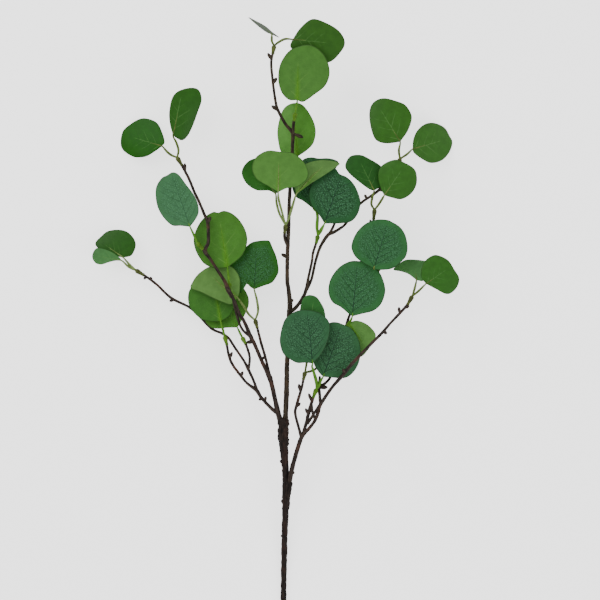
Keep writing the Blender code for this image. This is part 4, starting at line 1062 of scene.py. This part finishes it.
leafLeftMidSingle = {
    "slot": "leaf_under", "stalk": "Lime",
    "mouth": (229.6, 291.6, 35.4),
    "fork": (229, 283.6, 34),
    "blades": [{
        "face": "under", "green": (73, 125, 46),
        "midrib": (222, 234),
        "petiole": [(228.2, 275, 33.4)],
        "outline": [
            (227.4, 267.8), (216, 268.4), (205.8, 264.9), (200.2, 259), (195, 249), (193.6, 237.4),
            (198.6, 224.4), (205.8, 216), (213.4, 211.8), (218, 212.5), (224, 210.7), (232, 213.4),
            (239.7, 220.3), (245.8, 231.3), (247, 243), (241.7, 256),
        ],
        "height": 33, "rise": -1.5, "roll": 0, "cup": 1.5,
    }],
}
makeLeafPiece("leafLeftMidSingle", "leaf_left_mid_single", leafLeftMidSingle)

leafLeftInnerPair = {
    "slot": "leaf_net", "stalk": "Pale",
    "mouth": (257.2, 327.8, 31.2),
    "fork": (255.2, 320.4, 30.4),
    "blades": [{
        "face": "net", "green": (46, 108, 34), "veins": 0.85,
        "petiole": [(258, 311, 28.4), (256.8, 300, 26)],
        "outline": [
            (254.1, 289.4), (250.6, 287.2), (246.6, 284), (243.4, 288), (240.6, 292.6), (236, 285),
            (231, 274.6), (230, 265.6), (237.4, 256), (247.2, 245.6), (252, 242.2), (258.3, 240.7),
            (265, 240.2), (269.6, 241.1), (272.9, 248.3), (276.2, 256.2), (278.2, 265), (278.5, 271.7),
            (276, 277.4), (271.6, 282.8), (263, 286),
        ],
        "height": 23.8, "rise": 0, "roll": 1, "cup": -1.5,
    }, {
        "face": "under", "green": (96, 140, 70),
        "petiole": [(249, 314.6, 30.6), (243, 305.4, 30.4)],
        "outline": [
            (237.6, 298), (231, 304.4), (220.8, 301.4), (210.6, 296.9), (200.4, 291.9), (190.6, 288),
            (192.6, 281.4), (197.4, 274.6), (204.2, 269.2), (211.4, 265.7), (220, 264.2), (230.4, 266),
            (236.6, 271.6), (239.8, 279), (240, 287), (239.4, 293),
        ],
        "height": 29, "rise": -2, "roll": 0, "cup": 1,
    }],
}
makeLeafPiece("leafLeftInnerPair", "leaf_left_inner_pair", leafLeftInnerPair)

leafLeftLowSingle = {
    "slot": "leaf_under", "stalk": "Lime",
    "mouth": (226.8, 345, 27),
    "fork": (224.6, 336.6, 25.6),
    "blades": [{
        "face": "under", "green": (64, 115, 44),
        "midrib": (217, 302),
        "petiole": [(222.4, 328.4, 23.4)],
        "outline": [
            (220.6, 321.6), (210.6, 321.4), (201.4, 319.2), (192.4, 311.3), (188.2, 303),
            (188.6, 291.6), (196, 281.6), (209, 277), (223, 279.6), (232.4, 289), (235.2, 302),
            (230, 315.2),
        ],
        "height": 21.6, "rise": -0.5, "roll": 0, "cup": 1.2,
    }],
}
makeLeafPiece("leafLeftLowSingle", "leaf_left_low_single", leafLeftLowSingle)

leafLeftRearSingle = {
    "slot": "leaf_green", "stalk": "Lime",
    "mouth": (245.8, 344.2, 28.8),
    "fork": (242.4, 338, 23.6),
    "blades": [{
        "face": "plain", "green": (80, 138, 50),
        "petiole": [(239.6, 332.6, 19.4)],
        "outline": [
            (237.2, 327.6), (227, 327.8), (217.8, 328.8), (210.4, 327.3), (204.6, 321), (202.2, 310),
            (206, 297), (216, 288), (230, 284.4), (241.6, 286.6), (247.9, 295.9), (248.6, 305),
            (245.2, 313.8), (241, 321.6),
        ],
        "height": 16.6, "rise": -1, "roll": 0, "cup": 1,
    }],
}
makeLeafPiece("leafLeftRearSingle", "leaf_left_rear_single", leafLeftRearSingle)

leafFarLeftPair = {
    "slot": "leaf_green", "stalk": "Pale",
    "mouth": (143.4, 275, 13.8),
    "fork": (135.8, 270.4, 15),
    "blades": [{
        "face": "plain", "green": (46, 92, 32),
        "midrib": (108, 247),
        "petiole": [(129.6, 265, 15.6)],
        "outline": [
            (122.9, 257.5), (110.6, 255), (101.4, 250.6), (95.8, 246.4), (95, 242), (100.4, 236.2),
            (107, 231), (117.1, 229.4), (126.4, 231.4), (133.1, 237.8), (135.4, 244.2), (134, 250.4),
            (130.5, 255.7),
        ],
        "height": 15.4, "rise": -6, "roll": 0, "cup": -1.2,
    }, {
        "face": "plain", "green": (79, 131, 74),
        "petiole": [(128.4, 266.8, 16.8)],
        "outline": [
            (121.7, 260.7), (115.4, 260.6), (108.4, 262.2), (101.6, 264.4), (96, 263.6), (92.6, 259.8),
            (91.8, 255.2), (94.1, 249.9), (97.6, 247.8), (105, 249.4), (112.4, 252.6), (118.6, 257),
        ],
        "height": 18.8, "rise": 3, "roll": 0, "cup": 1.5,
    }],
}
makeLeafPiece("leafFarLeftPair", "leaf_far_left_pair", leafFarLeftPair)

print("leaves made")

trunk = {
    "slot": "bark_brown",
    "stems": [{
        "route": [
            (283.4, 610.9, 2.3, 2.7), (283.6, 590, 2.3, 2.6), (284, 566, 4, 2.6),
            (284.8, 528, 8.5, 2.9), (285.6, 510, 11.5, 3.2), (286.2, 498, 13.5, 3.9),
            (286.2, 487, 15.5, 3.8), (285.3, 470, 18.5, 3.2), (284.2, 453, 21.5, 4),
            (283.2, 436, 25, 5.1), (283, 419.8, 28, 5.3),
        ],
    }, {
        "route": [(286.8, 498, 14.4, 2.8), (289.7, 482.8, 20.5, 3.1)],
    }],
    "buds": [
        ((284, 463.5, 19.8), (280, 460.8, 21.5), 1.3),
        ((284.6, 538, 7.5), (280.8, 536, 8.4), 1.1),
        ((283.4, 504, 13), (282.2, 500, 15.4), 1.4),
        ((286, 446, 24), (288.4, 442.6, 26.6), 1.4),
    ],
}
makeWoodPiece("trunk", "trunk", trunk)

centreArm = {
    "slot": "bark_olive",
    "stems": [{
        "socket": (285.7, 419, 28.1), "socketEnd": (284.9, 427, 26.9), "tip": leafTopPair,
        "route": [
            (286.3, 398, 30.5, 2.4), (286.7, 377, 33.5, 2.2), (287.3, 359, 36, 2.1),
            (288.6, 330, 39.2, 2.1), (289.6, 311, 41.2, 2.4), (289.9, 303, 42, 2.3),
            (288.6, 290, 43, 1.8), (287.2, 279, 44, 1.7), (287.6, 252, 46, 1.7), (288.6, 227, 48, 1.6),
            (289.1, 206, 50, 1.5), (290.1, 188, 51.2, 1.5), (291.8, 160, 52.8, 1.4),
            (292.8, 141, 53.8, 1.4), (292.8, 133.3, 54, 1.7), (289.5, 129, 54.4, 1.4),
            (285.4, 124, 55, 1.2), (281.8, 118, 55.6, 1.2), (278.3, 111, 56.3, 1.2),
            (276, 104, 57, 1.1), (273.3, 86, 58.6, 1), (271.4, 67.5, 60.2, 1), (271.6, 59, 60.8, 1),
        ],
    }, {
        "tip": leafTopSingle,
        "route": [(292.8, 136, 54, 1.5), (293.2, 127, 55.3, 1.2)],
    }, {
        "tip": leafBehindStem,
        "route": [(291.4, 174, 52, 1.3), (293.2, 169.6, 50, 1.1)],
    }, {
        "tip": leafStemTrio,
        "route": [(288, 246, 46.6, 1.4), (284.9, 239, 48.2, 1.2)],
    }, {
        "tip": leafMidPair,
        "route": [
            (289.6, 312, 41.2, 1.8), (294.7, 308.6, 42.2, 1.6), (300.8, 301, 43.2, 1.5),
            (305.9, 290.6, 44, 1.5), (308.3, 278, 45.8, 1.1), (311.8, 262, 47.2, 1), (313, 253, 48, 1),
        ],
    }, {
        "tip": leafRightTopPair,
        "route": [
            (305.4, 292, 44, 1.3), (311.2, 280, 43.6, 1.1), (315.4, 262, 44, 1.1),
            (320.1, 247.4, 44.6, 1.2), (327.6, 235.4, 45.2, 1.5), (333.4, 232.4, 45.4, 1.3),
            (340, 228.5, 45.6, 1.1), (345.4, 224, 45.8, 1), (353, 213.4, 46.8, 1),
            (360.5, 203.4, 47.8, 1), (372.5, 195, 48.6, 1.1), (380, 189, 49, 1.2), (390, 177, 48.2, 1),
        ],
    }, {
        "route": [(328.6, 234.6, 45.2, 1.1), (332.4, 228.4, 45, 1), (335.6, 221, 44.4, 0.8)],
    }],
    "buds": [
        ((271.6, 60, 60.8), (267.8, 53.4, 62), 1.2),
        ((272.8, 84, 58.8), (276.8, 78, 60.2), 1.3),
        ((277.4, 110.4, 56.4), (271.6, 105.8, 57.6), 1.3),
        ((294.4, 134.2, 54.2), (303.2, 137.6, 56.4), 1.3),
        ((287.4, 257.6, 46.2), (281.4, 253.8, 48), 1.35),
        ((290.2, 302, 42.8), (293.2, 299.4, 44.6), 1.2),
        ((379, 190.4, 49.2), (385.6, 189.8, 51), 1.2),
        ((366.8, 198.6, 48.4), (364.6, 194.6, 50), 1),
    ],
}
makeWoodPiece("centreArm", "centre_arm", centreArm)

leftArm = {
    "slot": "bark_brown", "bark": "barkRed",
    "stems": [{
        "socket": (280.2, 419, 28.1), "socketEnd": (281.3, 427, 26.9), "tip": leafLeftTopPair,
        "route": [
            (277.6, 411, 28.8, 2.4), (275.5, 401.6, 30, 2.1), (272, 386, 32, 2), (269, 376, 33.2, 2.2),
            (262.2, 362, 35.2, 1.6), (255.1, 345.5, 37, 1.6), (251.4, 338.4, 37.6, 1.9),
            (243.9, 321, 39, 1.4), (239.6, 314.5, 39.4, 1.3), (233.3, 299, 39.8, 1.3),
            (228.4, 290.6, 40, 1.9), (225, 282, 39.9, 1.4), (219.3, 273, 39.7, 1.2),
            (210.2, 259, 39, 1.2), (204.8, 251, 38.4, 1.7), (208, 243, 38.2, 1.4),
            (208.3, 234, 37.8, 1.3), (207.6, 222, 36.8, 1.4), (204.1, 214, 35.8, 1.2),
            (199, 201.6, 33.6, 1.1), (193.9, 191, 31.4, 1.1), (188.8, 178.6, 28.8, 1.1),
        ],
    }, {
        "tip": leafLeftUpperSingle,
        "route": [(206.4, 253, 38.6, 1.3), (204.2, 250.6, 39.4, 1.2)],
    }, {
        "tip": leafLeftMidSingle,
        "route": [(231.8, 296.4, 39.6, 1.3), (230.8, 296.6, 37.4, 1.1)],
    }, {
        "route": [
            (250.8, 337, 37, 1.3), (243.6, 331, 36, 1), (240, 325, 35.8, 1), (237.4, 317, 36.2, 1),
            (233.4, 301, 38.6, 1),
        ],
    }, {
        "tip": leafLeftInnerPair,
        "route": [
            (269.4, 377, 33, 1.6), (267, 364, 32.8, 1.1), (264.4, 354, 32.4, 1.1),
            (261.2, 343.5, 31.8, 1.1), (258.8, 334, 31.4, 1),
        ],
    }, {
        "route": [(265.2, 357, 32.5, 1.1), (260.2, 359.6, 34.6, 1.1)],
    }, {
        "tip": leafLeftLowSingle,
        "route": [
            (278, 414, 28.4, 1.8), (270.4, 407.6, 28, 1.5), (261.2, 397.6, 28, 1.4),
            (256.6, 390.6, 28, 1.7), (247, 383.3, 28, 1.1), (240.8, 376, 28, 1.1),
            (234.7, 368, 28, 1.1), (230.6, 361, 27.8, 1.1), (228.1, 352.7, 27.4, 1),
        ],
    }, {
        "tip": leafFarLeftPair,
        "route": [
            (257.4, 391.6, 28, 1.3), (253.2, 380, 27, 1.1), (248, 369, 26, 1.3),
            (243.6, 360.6, 24.8, 1), (234.7, 347.6, 22.2, 1), (228.6, 338.4, 19.6, 1),
            (221.4, 333.3, 16.4, 1), (211, 328.4, 12.2, 1), (198, 315, 9.6, 1), (188.5, 307, 9.4, 1),
            (173, 299.3, 10.4, 1.1), (165, 293, 11.2, 1), (158, 286, 12, 1), (151.2, 280.4, 12.8, 1),
        ],
    }, {
        "tip": leafLeftRearSingle,
        "route": [(248.2, 370, 26, 1.2), (249.6, 361, 28.4, 1), (249, 354, 30, 1)],
    }],
    "buds": [
        ((207.4, 223, 36.9), (210.6, 216.6, 38), 1.2),
        ((185, 170.6, 26.9), (184.6, 163, 28.4), 1.1),
        ((229.2, 359, 27.8), (232.2, 352, 29), 1.1),
        ((240.8, 377, 28), (242.8, 371.4, 29.4), 1.1),
        ((262, 399, 28.2), (258.6, 399.8, 29.6), 1),
        ((265, 401.4, 28.2), (265.8, 396.6, 29.6), 1),
        ((173.6, 299.8, 10.6), (169, 301, 11.4), 1.1),
        ((151.6, 281, 12.8), (149.8, 276.8, 14.6), 1),
        ((146, 276.4, 13.6), (143.4, 279.2, 14.4), 1),
        ((230, 292.6, 40.6), (226.6, 287.6, 42.2), 1.3),
        ((253.4, 341.6, 38), (246.4, 342.4, 40), 1.4),
    ],
}
makeWoodPiece("leftArm", "left_arm", leftArm)

rightArm = {
    "slot": "bark_brown", "bark": "barkRed",
    "stems": [{
        "socket": (289.7, 482.4, 20.6), "socketEnd": (288.3, 489.8, 17.7), "tip": leafFarRightPair,
        "route": [
            (291.6, 471, 22.4, 2.1), (293.8, 462, 23.2, 2), (297.6, 449, 24, 1.9),
            (302.1, 436.6, 24.8, 1.8), (309.6, 428, 26.4, 1.4), (315.3, 420, 28.4, 1.4),
            (318.4, 412, 30.6, 1.5), (320.6, 404.6, 33, 1.5), (331.6, 388, 40, 1.3),
            (342, 376, 47, 1.5), (351.8, 364, 48.4, 1.4), (367, 348, 48.4, 1.1),
            (381.4, 333.5, 47.4, 1.2), (390.6, 323, 46.8, 1), (400, 313, 46.2, 1.1),
        ],
    }, {
        "tip": leafLowSingle,
        "route": [
            (301.6, 438, 24.7, 1.4), (298.2, 426, 24.6, 1.1), (295.2, 413, 26.6, 1.1),
            (296.8, 404.7, 28.2, 1.2), (300, 393.5, 30.6, 1.1), (302.2, 386, 31.8, 1),
        ],
    }, {
        "tip": leafLowPair,
        "route": [
            (302.4, 437, 24.9, 1.6), (306, 424, 26.4, 1.4), (309, 412, 29, 1.5), (311.2, 404, 31, 1.3),
        ],
    }, {
        "tip": leafRightUpperPair,
        "route": [
            (320.6, 405, 32.8, 1.3), (319.6, 394, 32.6, 1.2), (319.2, 386.6, 32.4, 1.5),
            (324.4, 384, 32.2, 1.2), (330.5, 377, 31.4, 1), (336.6, 362, 30, 1), (340.6, 346, 29.4, 1),
            (342.8, 338, 29.2, 1.2), (348.6, 318, 29.6, 1), (356, 302, 31, 1), (363.6, 289, 32.6, 1.1),
            (369, 270, 33.8, 1), (372, 248, 34.6, 1), (372.8, 230, 36, 1),
        ],
    }, {
        "tip": leafCentrePair,
        "route": [(342, 341, 29.2, 1.1), (343.6, 337, 31.2, 1)],
    }, {
        "tip": leafRightLowSingle,
        "route": [(363.2, 290, 33, 1.1), (366.6, 286, 34.4, 1)],
    }, {
        "route": [(319.2, 388, 32.4, 1.2), (319.8, 376.6, 34.6, 0.9)],
    }, {
        "route": [(320.4, 404, 33, 1.2), (313.8, 414, 30.4, 1.1), (307.4, 424, 27.2, 1.2)],
    }, {
        "route": [(311.4, 403, 31.2, 1.1), (312.2, 411, 30.6, 1.1), (315, 419, 28.6, 1.1)],
    }],
    "buds": [
        ((300.4, 391.6, 31), (298.8, 384, 32.8), 1.2),
        ((296.2, 407, 27.8), (300.4, 403, 29.6), 1.2),
        ((308.6, 415, 28.6), (305.4, 408.4, 30.6), 1.1),
        ((311.4, 401, 31.8), (308.6, 393.4, 33.6), 1.1),
        ((319.6, 387.6, 32.6), (327.6, 387.2, 34.2), 1.5),
        ((383.4, 331.6, 47.4), (387, 333.6, 48.8), 1.2),
        ((399.6, 313.4, 46.3), (398.8, 307, 48), 1.1),
        ((404.8, 308.2, 45.8), (409.2, 305.6, 47), 1.1),
        ((372.6, 226.6, 36.4), (370, 219.6, 38.2), 1.1),
        ((344.6, 373.4, 47.8), (343.2, 368.8, 50), 1.2),
        ((291, 474, 22), (294.4, 472.4, 24), 1.2),
    ],
}
makeWoodPiece("rightArm", "right_arm", rightArm)

print("spray made")

studio = {
    "floor": (0.93, 0.93, 0.93, 1.0), "floorSize": 12.0,
    "floorRoughness": 0.9, "floorSpecular": 0.1,
    "white": (1.0, 1.0, 1.0, 1.0),
    "world": 0.65,
    "key": {"place": (-2.0, 2.0, 2.2), "size": 2.8, "power": 69.0},
    "fill": {"place": (2.4, -1.6, 2.0), "size": 2.4, "power": 40.0},
    "paperGlow": 1.7,  # only the camera sees it, so it lights nothing
}


def makeStudio():
    bpy.ops.mesh.primitive_plane_add(size=studio["floorSize"])
    floorPlane = bpy.context.active_object
    floorPlane.name = "floor"
    paper, tree, shader = newMaterial("paper", studio["floorRoughness"], studio["floorSpecular"])
    shader["Base Color"].default_value = studio["floor"]
    shader["Emission Color"].default_value = studio["white"]
    seen = tree.nodes.new("ShaderNodeLightPath").outputs["Is Camera Ray"]
    plug(tree, shader["Emission Strength"], calc(tree, "MULTIPLY", seen, studio["paperGlow"]))
    floorPlane.data.materials.append(paper)
    sky = bpy.data.worlds.new("studio")
    sky.use_nodes = True
    light = sky.node_tree.nodes["Background"].inputs
    light["Color"].default_value = studio["white"]
    light["Strength"].default_value = studio["world"]
    bpy.context.scene.world = sky
    for name in ("key", "fill"):
        facts = studio[name]
        lamp = bpy.data.lights.new(name, "AREA")
        lamp.energy = facts["power"]
        lamp.size = facts["size"]
        made = bpy.data.objects.new(name, lamp)
        made.location = facts["place"]
        made.rotation_euler = (-Vector(facts["place"])).to_track_quat("-Z", "Y").to_euler()
        bpy.context.scene.collection.objects.link(made)


# The camera looks straight down on the spray through a long lens, and the tips are at the top.
photo = {
    "middle": (300.0, 300.0, 0.0), "side": 0.6,  # where it looks, and how wide the view is at leafHeight
    "height": 12.0, "leafHeight": 0.045,
    "sensor": 36.0, "farthest": 100.0,
}


def makeCamera():
    lens = bpy.data.cameras.new("photo")
    lens.sensor_width = photo["sensor"]
    lens.lens = photo["sensor"] * (photo["height"] - photo["leafHeight"]) / photo["side"]
    lens.clip_end = photo["farthest"]
    made = bpy.data.objects.new("photo", lens)
    place = world(photo["middle"])
    made.location = (place.x, place.y, photo["height"])
    bpy.context.scene.collection.objects.link(made)
    bpy.context.scene.camera = made


makeStudio()
makeCamera()
print("studio made")
